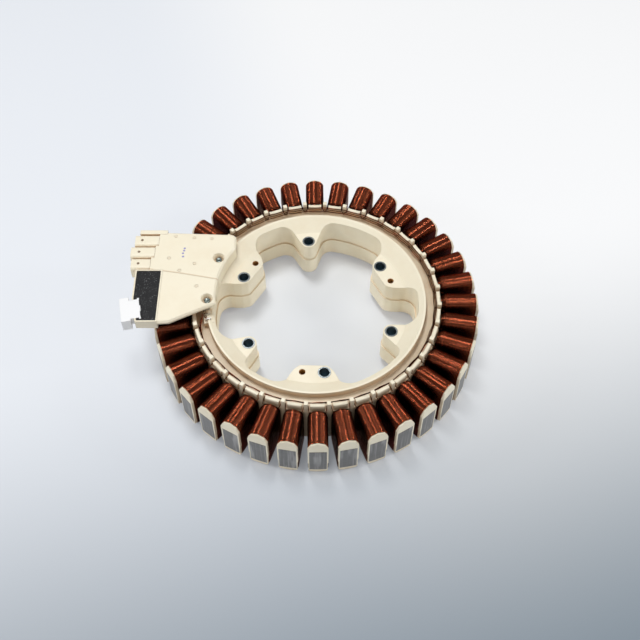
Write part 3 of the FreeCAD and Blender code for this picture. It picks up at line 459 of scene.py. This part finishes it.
def floor_finish(colours):
    """Pale floor that keeps its shadow, with painted light and shade in its glow: white behind the stator, grey-blue
    in front of it, and pale far in front.
    """
    material, tree, skin = finish("Studio floor", Roughness=0.9)
    skin.inputs["Base Color"].default_value = (*colours.floor, 1.0)
    where = tree.nodes.new("ShaderNodeTexCoord").outputs["Object"]
    # Painted light and shade: the glow falls from white behind the stator to grey-blue in front of it, and rises to
    # pale again far in front.
    ahead = vector_maths(tree, "DOT_PRODUCT", where, (-0.3, 1.0, 0.0))
    painted_shade_ramp = maths(tree, "MAXIMUM", remap(tree, ahead, -0.40, 0.06), remap(tree, ahead, -0.42, -0.85))
    side = remap(tree, vector_maths(tree, "DOT_PRODUCT", where, (1.0, 0.3, 0.0)), -0.10, 0.13)
    far = blended(tree, side, (0.84, 0.87, 0.92), (1.0, 1.0, 1.0))
    glow = blended(tree, painted_shade_ramp, (0.03, 0.085, 0.135), far)
    shine = put(tree, "ShaderNodeEmission", {"Color": glow, "Strength": 1.0})
    rays = tree.nodes.new("ShaderNodeLightPath").outputs
    seen = maths(tree, "MAXIMUM", rays["Is Camera Ray"], rays["Is Glossy Ray"])
    seen = maths(tree, "MAXIMUM", seen, rays["Is Transmission Ray"])
    away = vector_maths(tree, "LENGTH", where)
    share = remap(tree, away, 0.125, 0.150, 0.25, 0.75)
    factor = maths(tree, "MULTIPLY", seen, share)
    mix = put(tree, "ShaderNodeMixShader", {0: factor, 1: skin.outputs[0], 2: shine.outputs[0]})
    tree.links.new(mix.outputs[0], tree.nodes["Material Output"].inputs[0])
    return material


def dress(material, *nodes):
    """Gives CAD nodes a finish."""
    for name in nodes:
        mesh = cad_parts[name].data
        mesh.materials.clear()
        mesh.materials.append(material)


# ---------------------------------------------------------------- mesh helpers


def new_piece(name, mesh, material=None):
    """Object at the origin that rides with the stator."""
    piece = bpy.data.objects.new(name, mesh)
    bpy.context.scene.collection.objects.link(piece)
    if material is not None:
        mesh.materials.append(material)
    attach(piece, "root")
    return piece


def plain_mesh(name, points, edges):
    """Mesh of points and edges, for a path."""
    mesh = bpy.data.meshes.new(name)
    mesh.from_pydata(points, edges, [])
    return mesh


def closed_mesh(name, work):
    """Turns a bmesh into a mesh, with its faces pointing outwards, and frees it."""
    bmesh.ops.recalc_face_normals(work, faces=work.faces)
    mesh = bpy.data.meshes.new(name)
    work.to_mesh(mesh)
    work.free()
    return mesh


def joined_rings(work, rings):
    """Faces between rings of vertices, each ring joined to the next."""
    for upper, lower in zip(rings, rings[1:]):
        for n in range(len(upper)):
            work.faces.new((upper[n], lower[n], lower[n - 1], upper[n - 1]))


def chained(points, edges, run):
    """Adds a run of points to a path, with an edge from each to the next."""
    first = len(points)
    points.extend(run)
    edges.extend((n - 1, n) for n in range(first + 1, len(points)))


def baked(name, base, tree, values):
    """Runs a Geometry Nodes tree on a base mesh with named input values, and returns the result as a plain mesh."""
    maker = bpy.data.objects.new(name + " maker", base)
    bpy.context.scene.collection.objects.link(maker)
    modifier = maker.modifiers.new("Build", "NODES")
    modifier.node_group = tree
    for item in tree.interface.items_tree:
        if item.item_type == "SOCKET" and item.in_out == "INPUT" and item.name in values:
            modifier[item.identifier] = values[item.name]
    graph = bpy.context.evaluated_depsgraph_get()
    mesh = bpy.data.meshes.new_from_object(maker.evaluated_get(graph), depsgraph=graph)
    bpy.data.objects.remove(maker)
    mesh.name = name
    return mesh


# ---------------------------------------------------------------- windings


def coil_loop(winding):
    """Closed path of one turn in the plane across its tooth, centred on the coil's section."""
    middle = (FIRST_LOW.z + FIRST_HIGH.z) / 2
    inset = winding.wire / 2 - winding.proud
    half = COIL_HALF - inset
    top = FIRST_HIGH.z - inset - middle
    low = FIRST_LOW.z + inset - middle
    crown_steps, belly_steps, side_shares = 14, 8, (0.25, 0.5, 0.75)
    points = []
    for k in range(crown_steps + 1):
        turn = math.pi * k / crown_steps
        points.append((0.0, half * math.cos(turn), top - winding.crown * (1 - math.sin(turn))))
    for share in side_shares:
        points.append((0.0, -half, (top - winding.crown) * (1 - share) + (low + winding.belly) * share))
    for k in range(belly_steps + 1):
        turn = math.pi * k / belly_steps
        points.append((0.0, -half * math.cos(turn), low + winding.belly * (1 - math.sin(turn))))
    for share in side_shares:
        points.append((0.0, half, (low + winding.belly) * (1 - share) + (top - winding.crown) * share))
    count = len(points)
    return plain_mesh("Turn path", points, [(k, (k + 1) % count) for k in range(count)]), middle


def coil_tree():
    """Geometry Nodes: one coil's outer layer of turns, with stray turns over it, turned to its tooth."""
    inputs = [
        ("Path", "NodeSocketGeometry", None),
        ("Turns", "NodeSocketInt", 24),
        ("Stray turns", "NodeSocketInt", 2),
        ("Start", FLOAT, 0.1),
        ("Pitch", FLOAT, 0.001),
        ("Stray start", FLOAT, 0.1),
        ("Wire", FLOAT, 0.001),
        ("Waver", FLOAT, 0.0001),
        ("End scale", FLOAT, 0.9),
        ("Taper", FLOAT, 0.003),
        ("Middle", FLOAT, 0.016),
        ("Turn about axis", FLOAT, 0.0),
        ("Seed", "NodeSocketInt", 0),
        ("Material", "NodeSocketMaterial", None),
    ]
    tree, source, sink = new_group("Coil", "GeometryNodeTree", inputs, [("Geometry", "NodeSocketGeometry")])
    given = source.outputs
    stray_pitch = maths(tree, "MULTIPLY", given["Pitch"], 2.3)
    layers = []
    for count, start, pitch, swing, size in (
        (given["Turns"], given["Start"], given["Pitch"], 0.002, 1.0),
        (given["Stray turns"], given["Stray start"], stray_pitch, 0.06, 1.014),
    ):
        origin = put(tree, "ShaderNodeCombineXYZ", {0: start}).outputs[0]
        offset = put(tree, "ShaderNodeCombineXYZ", {0: pitch}).outputs[0]
        line = put(tree, "GeometryNodeMeshLine", {"Count": count, "Start Location": origin, "Offset": offset})
        place = put(tree, "ShaderNodeSeparateXYZ", {0: tree.nodes.new("GeometryNodeInputPosition").outputs[0]})
        from_end = maths(tree, "SUBTRACT", place.outputs[0], given["Start"])
        grow = remap(tree, from_end, 0.0, given["Taper"], given["End scale"], 1.0)
        sizes = {2: 0.999 * size, 3: 1.001 * size, 8: given["Seed"]}
        jitter = put(tree, "FunctionNodeRandomValue", sizes, data_type="FLOAT").outputs[1]
        grow = maths(tree, "MULTIPLY", grow, jitter)
        scale = put(tree, "ShaderNodeCombineXYZ", {0: 1.0, 1: grow, 2: grow}).outputs[0]
        leans = {0: (0.0, -swing * 0.3, -swing), 1: (0.0, swing * 0.3, swing), 8: given["Seed"]}
        lean = put(tree, "FunctionNodeRandomValue", leans, data_type="FLOAT_VECTOR").outputs[0]
        places = {"Points": line.outputs[0], "Instance": given["Path"], "Rotation": lean, "Scale": scale}
        layers.append(put(tree, "GeometryNodeInstanceOnPoints", places).outputs[0])
    both = tree.nodes.new("GeometryNodeJoinGeometry")
    for layer in reversed(layers):
        tree.links.new(layer, both.inputs[0])
    real = put(tree, "GeometryNodeRealizeInstances", {0: both.outputs[0]}).outputs[0]
    shift = put(tree, "ShaderNodeCombineXYZ", {0: maths(tree, "MULTIPLY", given["Seed"], 0.37)}).outputs[0]
    spread = vector_maths(tree, "ADD", tree.nodes.new("GeometryNodeInputPosition").outputs[0], shift)
    wave = noise(tree, spread, 130.0, 1.0)
    stray = maths(tree, "MULTIPLY", maths(tree, "SUBTRACT", wave, 0.5), maths(tree, "MULTIPLY", given["Waver"], 4.0))
    push = put(tree, "ShaderNodeCombineXYZ", {0: stray}).outputs[0]
    bent = put(tree, "GeometryNodeSetPosition", {0: real, "Offset": push}).outputs[0]
    curve = put(tree, "GeometryNodeMeshToCurve", {0: bent}).outputs[0]
    half = maths(tree, "MULTIPLY", given["Wire"], 0.5)
    ring = put(tree, "GeometryNodeCurvePrimitiveCircle", {"Resolution": 6, "Radius": half}).outputs[0]
    tube = put(tree, "GeometryNodeCurveToMesh", {"Curve": curve, "Profile Curve": ring}).outputs[0]
    lift = put(tree, "ShaderNodeCombineXYZ", {2: given["Middle"]}).outputs[0]
    about = put(tree, "ShaderNodeCombineXYZ", {2: given["Turn about axis"]}).outputs[0]
    moved = put(tree, "GeometryNodeTransform", {"Geometry": tube, "Translation": lift, "Rotation": about}).outputs[0]
    smooth = put(tree, "GeometryNodeSetShadeSmooth", {"Geometry": moved}).outputs[0]
    whole = put(tree, "GeometryNodeRealizeInstances", {0: smooth}).outputs[0]
    skin = put(tree, "GeometryNodeSetMaterial", {"Geometry": whole, "Material": given["Material"]}).outputs[0]
    tree.links.new(skin, sink.inputs[0])
    return tree


def strand_tree():
    """Geometry Nodes: round wire along a path of edges, rounded at its corners."""
    inputs = [
        ("Path", "NodeSocketGeometry", None),
        ("Wire", FLOAT, 0.001),
        ("Material", "NodeSocketMaterial", None),
    ]
    tree, source, sink = new_group("Strand", "GeometryNodeTree", inputs, [("Geometry", "NodeSocketGeometry")])
    curve = put(tree, "GeometryNodeMeshToCurve", {0: source.outputs["Path"]}).outputs[0]
    smooth = put(tree, "GeometryNodeCurveSplineType", {"Curve": curve}, spline_type="CATMULL_ROM").outputs[0]
    fine = put(tree, "GeometryNodeSetSplineResolution", {"Geometry": smooth, "Resolution": 3}).outputs[0]
    half = maths(tree, "MULTIPLY", source.outputs["Wire"], 0.5)
    ring = put(tree, "GeometryNodeCurvePrimitiveCircle", {"Resolution": 7, "Radius": half}).outputs[0]
    tube = put(tree, "GeometryNodeCurveToMesh", {"Curve": fine, "Profile Curve": ring, "Fill Caps": True}).outputs[0]
    shaded = put(tree, "GeometryNodeSetShadeSmooth", {"Geometry": tube}).outputs[0]
    whole = put(tree, "GeometryNodeRealizeInstances", {0: shaded}).outputs[0]
    skin = put(tree, "GeometryNodeSetMaterial", {"Geometry": whole, "Material": source.outputs["Material"]})
    tree.links.new(skin.outputs[0], sink.inputs[0])
    return tree


def ring_tree():
    """Geometry Nodes: the same shape once at every tooth, round the stator's axis."""
    inputs = [
        ("Shape", "NodeSocketGeometry", None),
        ("Count", "NodeSocketInt", TEETH),
        ("Start angle", FLOAT, 0.0),
        ("Material", "NodeSocketMaterial", None),
    ]
    tree, source, sink = new_group("Ring of teeth", "GeometryNodeTree", inputs, [("Geometry", "NodeSocketGeometry")])
    given = source.outputs
    places = put(tree, "GeometryNodeMeshLine", {"Count": given["Count"], "Offset": (0.0, 0.0, 0.0)}).outputs[0]
    step = maths(tree, "DIVIDE", 2 * math.pi, given["Count"])
    index = tree.nodes.new("GeometryNodeInputIndex").outputs[0]
    turn = maths(tree, "MULTIPLY_ADD", index, step, given["Start angle"])
    about = put(tree, "ShaderNodeCombineXYZ", {2: turn}).outputs[0]
    made = put(tree, "GeometryNodeInstanceOnPoints", {"Points": places, "Instance": given["Shape"], "Rotation": about})
    whole = put(tree, "GeometryNodeRealizeInstances", {0: made.outputs[0]}).outputs[0]
    skin = put(tree, "GeometryNodeSetMaterial", {"Geometry": whole, "Material": given["Material"]})
    tree.links.new(skin.outputs[0], sink.inputs[0])
    return tree


def round_axis(radius, angle, height):
    """Point given by its distance and angle about the stator's axis, and its height."""
    return Vector((radius * math.cos(angle), radius * math.sin(angle), height))


def at_tooth(angle, out, side, height):
    """Point given as distance out along a tooth, sideways from it, and height."""
    return Matrix.Rotation(angle, 3, "Z") @ Vector((out, side, height))


# ---------------------------------------------------------------- operators


class STATOR_OT_mouldings(bpy.types.Operator):
    """Finishes the mouldings, the steel and the small metal parts"""

    bl_idname = "stator.mouldings"
    bl_label = "Finish mouldings and metal"

    def execute(self, context):
        colours = context.scene.stator_finish
        build_shader_groups()
        dress(moulded("Cream moulding", colours, reach=17 * MM)[0], "insulator_upper", "insulator_lower")
        dress(moulded("Cream moulding, housing", colours)[0], "sensor_housing")
        dress(cover_plastic(colours), "terminal_cover")
        dress(connector_plastic(colours), "power_connector")
        dress(lamination_steel(colours), "lamination_core")
        dress(bush_metal(colours), "mounting_bushes")
        tin = plated_metal("Tinned brass", (0.62, 0.61, 0.58), 0.25, 0.1 * MM)[0]
        dress(tin, "power_tabs", "signal_pins", "phase_terminals")
        dress(speckled_potting(colours), "potting")
        dress(white_nylon(colours), "signal_connector")
        dress(green_board(), "sensor_board")
        return {"FINISHED"}


class STATOR_OT_coils(bpy.types.Operator):
    """Winds the outer turns of all the coils over their bulk"""

    bl_idname = "stator.coils"
    bl_label = "Wind coils"

    def execute(self, context):
        winding = context.scene.stator_winding
        colours = context.scene.stator_finish
        enamel = wire_enamel(colours, "Enamelled wire")
        # Painted shade: the coils' bulk under the outer turns is darkened to three tenths of the wire's colour.
        dress(wire_enamel(colours, "Enamelled wire, under layers", 0.3), *COIL_NODES)
        tree = coil_tree()
        path, middle = coil_loop(winding)
        span = COIL_OUTER - COIL_INNER - winding.wire - 2 * winding.waver
        pitch = span / (winding.turns - 1)
        for number in range(TEETH):
            values = {
                "Turns": winding.turns,
                "Stray turns": STRAY_TURNS[number % len(STRAY_TURNS)],
                "Start": COIL_INNER + winding.wire / 2 + winding.waver,
                "Pitch": pitch,
                "Stray start": COIL_INNER + (2.2 + (number * 7) % 5) * MM,
                "Wire": winding.wire,
                "Waver": winding.waver,
                "End scale": winding.end_scale,
                "Taper": 3.4 * MM,
                "Middle": middle,
                "Turn about axis": FIRST_TOOTH + number * 2 * math.pi / TEETH,
                "Seed": number + 3,
                "Material": enamel,
            }
            mesh = baked(f"turns_{number + 1:02d}", path.copy(), tree, values)
            new_piece(f"turns_{number + 1:02d}", mesh)
        return {"FINISHED"}


class STATOR_OT_crossovers(bpy.types.Operator):
    """Lays the wires between the coils and leads them off the coils"""

    bl_idname = "stator.crossovers"
    bl_label = "Lay crossover wires"

    def execute(self, context):
        winding = context.scene.stator_winding
        # Painted shade: the crossing wires and leads are darkened to three tenths of the wire's colour.
        enamel = wire_enamel(context.scene.stator_finish, "Enamelled wire, crossing", 0.3)
        tree = strand_tree()
        values = {"Wire": winding.crossing, "Material": enamel}
        half = winding.crossing / 2
        for lay, phase in enumerate("uvw"):
            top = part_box(f"crossover_{phase}")[1].z
            start = FIRST_TOOTH + TOOTH_STEP / 2 + (lay - 17) * TOOTH_STEP
            run = []
            for k in range(65):
                sway = math.sin(k * 1.7 + lay * 2.1)
                reach = winding.peg_radius - half - (0.1 + 0.75 * lay + 0.2 * sway) * MM
                if k % 2:
                    reach = reach * math.cos(TOOTH_STEP / 2) - 0.12 * MM
                run.append(round_axis(reach, start + k * TOOTH_STEP / 2, top + (0.45 + 0.35 * sway) * MM))
            points, edges = [], []
            chained(points, edges, run)
            mesh = baked(f"crossover_wires_{phase}", plain_mesh("Wire path", points, edges), tree, values)
            piece = new_piece(f"crossover_wires_{phase}", mesh)
            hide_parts(f"crossover_{phase}")
        points, edges = [], []
        for number in range(TEETH):
            angle = FIRST_TOOTH + number * TOOTH_STEP
            for side in (-1, 1):
                lift = 0.4 * math.sin(number * 2.3 + side)
                run = (
                    (103.6, 6.2, 36.6),
                    (101.6, 6.7, 37.0 + lift),
                    (99.2, 6.9, 37.3 + lift),
                    (97.0, 7.3, 36.6),
                    (95.6, 8.6, 36.0 + lift),
                )
                chained(points, edges, [
                    at_tooth(angle, out * MM, side * across * MM, height * MM) for out, across, height in run
                ])
        mesh = baked("coil_leads", plain_mesh("Lead path", points, edges), tree, values)
        new_piece("coil_leads", mesh)
        points, edges = [], []
        for number in range(3):
            run = (
                (97.0, 199 + 2 * number, 38.6),
                (96.0 - 0.5 * number, 196.5, 40.2),
                (94.4 - 0.6 * number, 194, 41.2),
                (92.0, 191.5, 42.8),
                (89.4, 186.6 + 3.8 * number, 42.4),
            )
            chained(points, edges, [
                round_axis(out * MM, math.radians(degrees), height * MM) for out, degrees, height in run
            ])
        mesh = baked("phase_leads", plain_mesh("Phase lead path", points, edges), tree, values)
        new_piece("phase_leads", mesh)
        return {"FINISHED"}


class STATOR_OT_guide_caps(bpy.types.Operator):
    """Rounds the tops of the guide walls behind the coils"""

    bl_idname = "stator.guide_caps"
    bl_label = "Round guide walls"

    def execute(self, context):
        radius, middle = 98.85, 38.8
        deep, wide, tall = 3.3, 10.6, 3.2
        work = bmesh.new()
        bmesh.ops.create_cube(work, size=1.0)
        for vertex in work.verts:
            out, side, up = vertex.co
            lean = 0.25 if up > 0 else 0.0
            vertex.co = (radius + out * (deep - lean), side * (wide - 2 * lean), middle + up * tall)
        top = [edge for edge in work.edges if min(vertex.co.z for vertex in edge.verts) > middle]
        bmesh.ops.bevel(work, geom=top, offset=1.05, segments=3, profile=0.5, affect="EDGES")
        bmesh.ops.scale(work, verts=work.verts, vec=(MM, MM, MM))
        block = closed_mesh("Guide block", work)
        values = {"Count": TEETH, "Start angle": FIRST_TOOTH, "Material": bpy.data.materials["Cream moulding"]}
        new_piece("guide_caps", baked("guide_caps", block, ring_tree(), values))
        return {"FINISHED"}


class STATOR_OT_screws(bpy.types.Operator):
    """Turns the cover screws, with a recess in each head"""

    bl_idname = "stator.screws"
    bl_label = "Turn cover screws"

    def execute(self, context):
        low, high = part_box("cover_screws")
        head, recess, segments = 2.5 * MM, 1.2, 24
        seat = high.z - 1.8 * MM
        profile = [
            (0.0, 1.25), (recess, 1.3), (1.9, 1.55), (2.2, 1.5), (2.45, 1.15), (2.5, 0.6), (2.5, 0.0), (1.5, 0.0),
            (1.5, -11.6), (1.1, -12.0), (0.0, -12.0),
        ]
        work = bmesh.new()
        for x, y in ((high.x - head, high.y - head), (low.x + head, low.y + head)):
            rings = []
            for radius, height in profile:
                ring = []
                for k in range(segments):
                    turn = 2 * math.pi * k / segments
                    inward = 0.45 if radius == recess and k % 6 in (2, 3, 4) else 1.0
                    reach = radius * inward * MM
                    place = (x + reach * math.cos(turn), y + reach * math.sin(turn), seat + height * MM)
                    ring.append(work.verts.new(place))
                rings.append(ring)
            joined_rings(work, rings)
            bmesh.ops.remove_doubles(work, verts=work.verts, dist=0.001 * MM)
        dark = plated_metal("Dark plated screw", (0.16, 0.19, 0.18), 0.3)[0]
        piece = new_piece("cover_screw_heads", closed_mesh("cover_screw_heads", work), dark)
        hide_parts("cover_screws")
        return {"FINISHED"}


class STATOR_OT_hole_skins(bpy.types.Operator):
    """Lines the three locating holes with a thin amber skin of painted warm shade"""

    bl_idname = "stator.hole_skins"
    bl_label = "Line locating holes"

    def execute(self, context):
        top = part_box("mounting_bushes")[1].z - 0.3 * MM
        circle, first_angle, holes, segments = 65.8 * MM, 140.7, 3, 32
        profile = [(2.59, top), (2.52, top + 0.03 * MM), (2.46, top - 0.1 * MM), (2.46, top - 30 * MM)]
        work = bmesh.new()
        for k in range(holes):
            middle = round_axis(circle, math.radians(first_angle + 360 / holes * k), 0.0)
            rings = []
            for radius, height in profile:
                turns = [2 * math.pi * n / segments for n in range(segments)]
                rings.append([work.verts.new(middle + round_axis(radius * MM, turn, height)) for turn in turns])
            joined_rings(work, rings)
        bmesh.ops.solidify(work, geom=work.faces, thickness=0.02 * MM)
        # Painted shade: the amber skin stands in for the warm shade inside the holes.
        material, tree, skin = finish("Amber hole shade", Roughness=0.4)
        grain = placed_group(tree, "Grain", Fine=900.0, Broad=300.0)
        tone = blended(tree, grain.outputs[1], (0.80, 0.40, 0.11), (0.92, 0.56, 0.20))
        tree.links.new(tone, skin.inputs["Base Color"])
        new_piece("locating_hole_skins", closed_mesh("locating_hole_skins", work), material)
        return {"FINISHED"}


class STATOR_OT_connector_ears(bpy.types.Operator):
    """Makes the latch ears of the signal connector, over the edge of the potting"""

    bl_idname = "stator.connector_ears"
    bl_label = "Make connector ears"

    def execute(self, context):
        turn = math.radians(191.1)
        foot, top = 48.4 * MM, 48.96 * MM
        ears = ((139.6, 141.2, -21.3, -19.6), (139.6, 141.2, -2.9, -1.2), (139.2, 140.2, -14.0, -8.5))
        work = bmesh.new()
        for near, far, right, left in ears:
            corners = [(near, right), (far, right), (far, left), (near, left)]
            lower, upper = (
                [work.verts.new(at_tooth(turn, out * MM, side * MM, height)) for out, side in corners]
                for height in (foot, top)
            )
            work.faces.new(lower)
            work.faces.new(upper)
            for k in range(4):
                work.faces.new((lower[k - 1], lower[k], upper[k], upper[k - 1]))
        mesh = closed_mesh("signal_connector_ears", work)
        new_piece("signal_connector_ears", mesh, bpy.data.materials["White nylon"])
        return {"FINISHED"}


class STATOR_OT_studio(bpy.types.Operator):
    """Sets up the floor, the lamps and the camera"""

    bl_idname = "stator.studio"
    bl_label = "Set up studio"

    def execute(self, context):
        scene = context.scene
        studio = scene.stator_studio
        mesh = bpy.data.meshes.new("floor")
        ground, edge = CAD_LOW.z - 0.2 * MM, 3.0
        corners = [(-edge, -edge, ground), (edge, -edge, ground), (edge, edge, ground), (-edge, edge, ground)]
        mesh.from_pydata(corners, [], [(0, 1, 2, 3)])
        floor = bpy.data.objects.new("floor", mesh)
        scene.collection.objects.link(floor)
        mesh.materials.append(floor_finish(scene.stator_finish))
        self.lamp("key", (-0.16, 0.30, 1.04), 0.3, studio.key)
        self.lamp("fill", (0.70, -0.45, 0.85), 0.45, studio.fill)
        self.lamp("front", (-0.25, -1.0, 0.62), 0.5, studio.fill)
        self.lamp("left_strip", (-0.95, -0.05, 0.50), 0.2, studio.strip)
        self.lamp("right_strip", (0.95, 0.05, 0.50), 0.2, studio.strip)
        self.sky(scene, studio.sky)
        camera = bpy.data.objects.new("camera", bpy.data.cameras.new("camera"))
        scene.collection.objects.link(camera)
        target = Vector((3.144, 5.832, 1.0)) * MM
        rise = studio.elevation
        camera.location = target + Vector((0.0, -math.cos(rise), math.sin(rise))) * studio.distance
        camera.rotation_euler = Euler((math.pi / 2 - rise, 0.0, 0.0))
        camera.data.lens = studio.lens
        camera.data.sensor_width = 36.0
        camera.data.clip_start = 0.01
        scene.camera = camera
        scene.view_settings.view_transform = "Standard"
        return {"FINISHED"}

    def lamp(self, name, place, size, power):
        """Round area lamp that points at the stator."""
        light = bpy.data.lights.new(name, "AREA")
        light.shape = "DISK"
        light.size = size
        light.energy = power
        lamp = bpy.data.objects.new(name, light)
        lamp.location = place
        lamp.rotation_euler = (-Vector(place)).to_track_quat("-Z", "Y").to_euler()
        bpy.context.scene.collection.objects.link(lamp)

    def sky(self, scene, strength):
        """Even light from all round, which the camera sees at full strength."""
        world = bpy.data.worlds.new("studio")
        world.use_nodes = True
        tree = world.node_tree
        back = tree.nodes["Background"]
        back.inputs[0].default_value = (0.95, 0.97, 1.0, 1.0)
        rays = tree.nodes.new("ShaderNodeLightPath").outputs
        seen = maths(tree, "MAXIMUM", rays["Is Camera Ray"], rays["Is Transmission Ray"])
        power = put(tree, "ShaderNodeMapRange", {0: seen, 1: 0.0, 2: 1.0, 3: strength, 4: 1.0}).outputs[0]
        tree.links.new(power, back.inputs[1])
        scene.world = world


class STATOR_PT_panel(bpy.types.Panel):
    """Sizes, colours and steps of the stator"""

    bl_label = "Stator"
    bl_idname = "STATOR_PT_panel"
    bl_space_type = "VIEW_3D"
    bl_region_type = "UI"
    bl_category = "Stator"

    def draw(self, context):
        for operator in OPERATORS:
            self.layout.operator(operator.bl_idname)
        for label in GROUPS:
            box = self.layout.box()
            group = getattr(context.scene, label)
            for name in group.__annotations__:
                box.prop(group, name)


OPERATORS = (
    STATOR_OT_mouldings,
    STATOR_OT_coils,
    STATOR_OT_crossovers,
    STATOR_OT_guide_caps,
    STATOR_OT_screws,
    STATOR_OT_hole_skins,
    STATOR_OT_connector_ears,
    STATOR_OT_studio,
)


def register():
    for group in GROUPS.values():
        bpy.utils.register_class(group)
    for label, group in GROUPS.items():
        setattr(bpy.types.Scene, label, bpy.props.PointerProperty(type=group))
    for operator in OPERATORS:
        bpy.utils.register_class(operator)
    bpy.utils.register_class(STATOR_PT_panel)


def unregister():
    bpy.utils.unregister_class(STATOR_PT_panel)
    for operator in reversed(OPERATORS):
        bpy.utils.unregister_class(operator)
    for label, group in GROUPS.items():
        delattr(bpy.types.Scene, label)
        bpy.utils.unregister_class(group)


def main():
    register()
    bpy.ops.stator.mouldings()
    bpy.ops.stator.coils()
    bpy.ops.stator.crossovers()
    bpy.ops.stator.guide_caps()
    bpy.ops.stator.screws()
    bpy.ops.stator.hole_skins()
    bpy.ops.stator.connector_ears()
    bpy.ops.stator.studio()


if __name__ == "__main__":
    main()
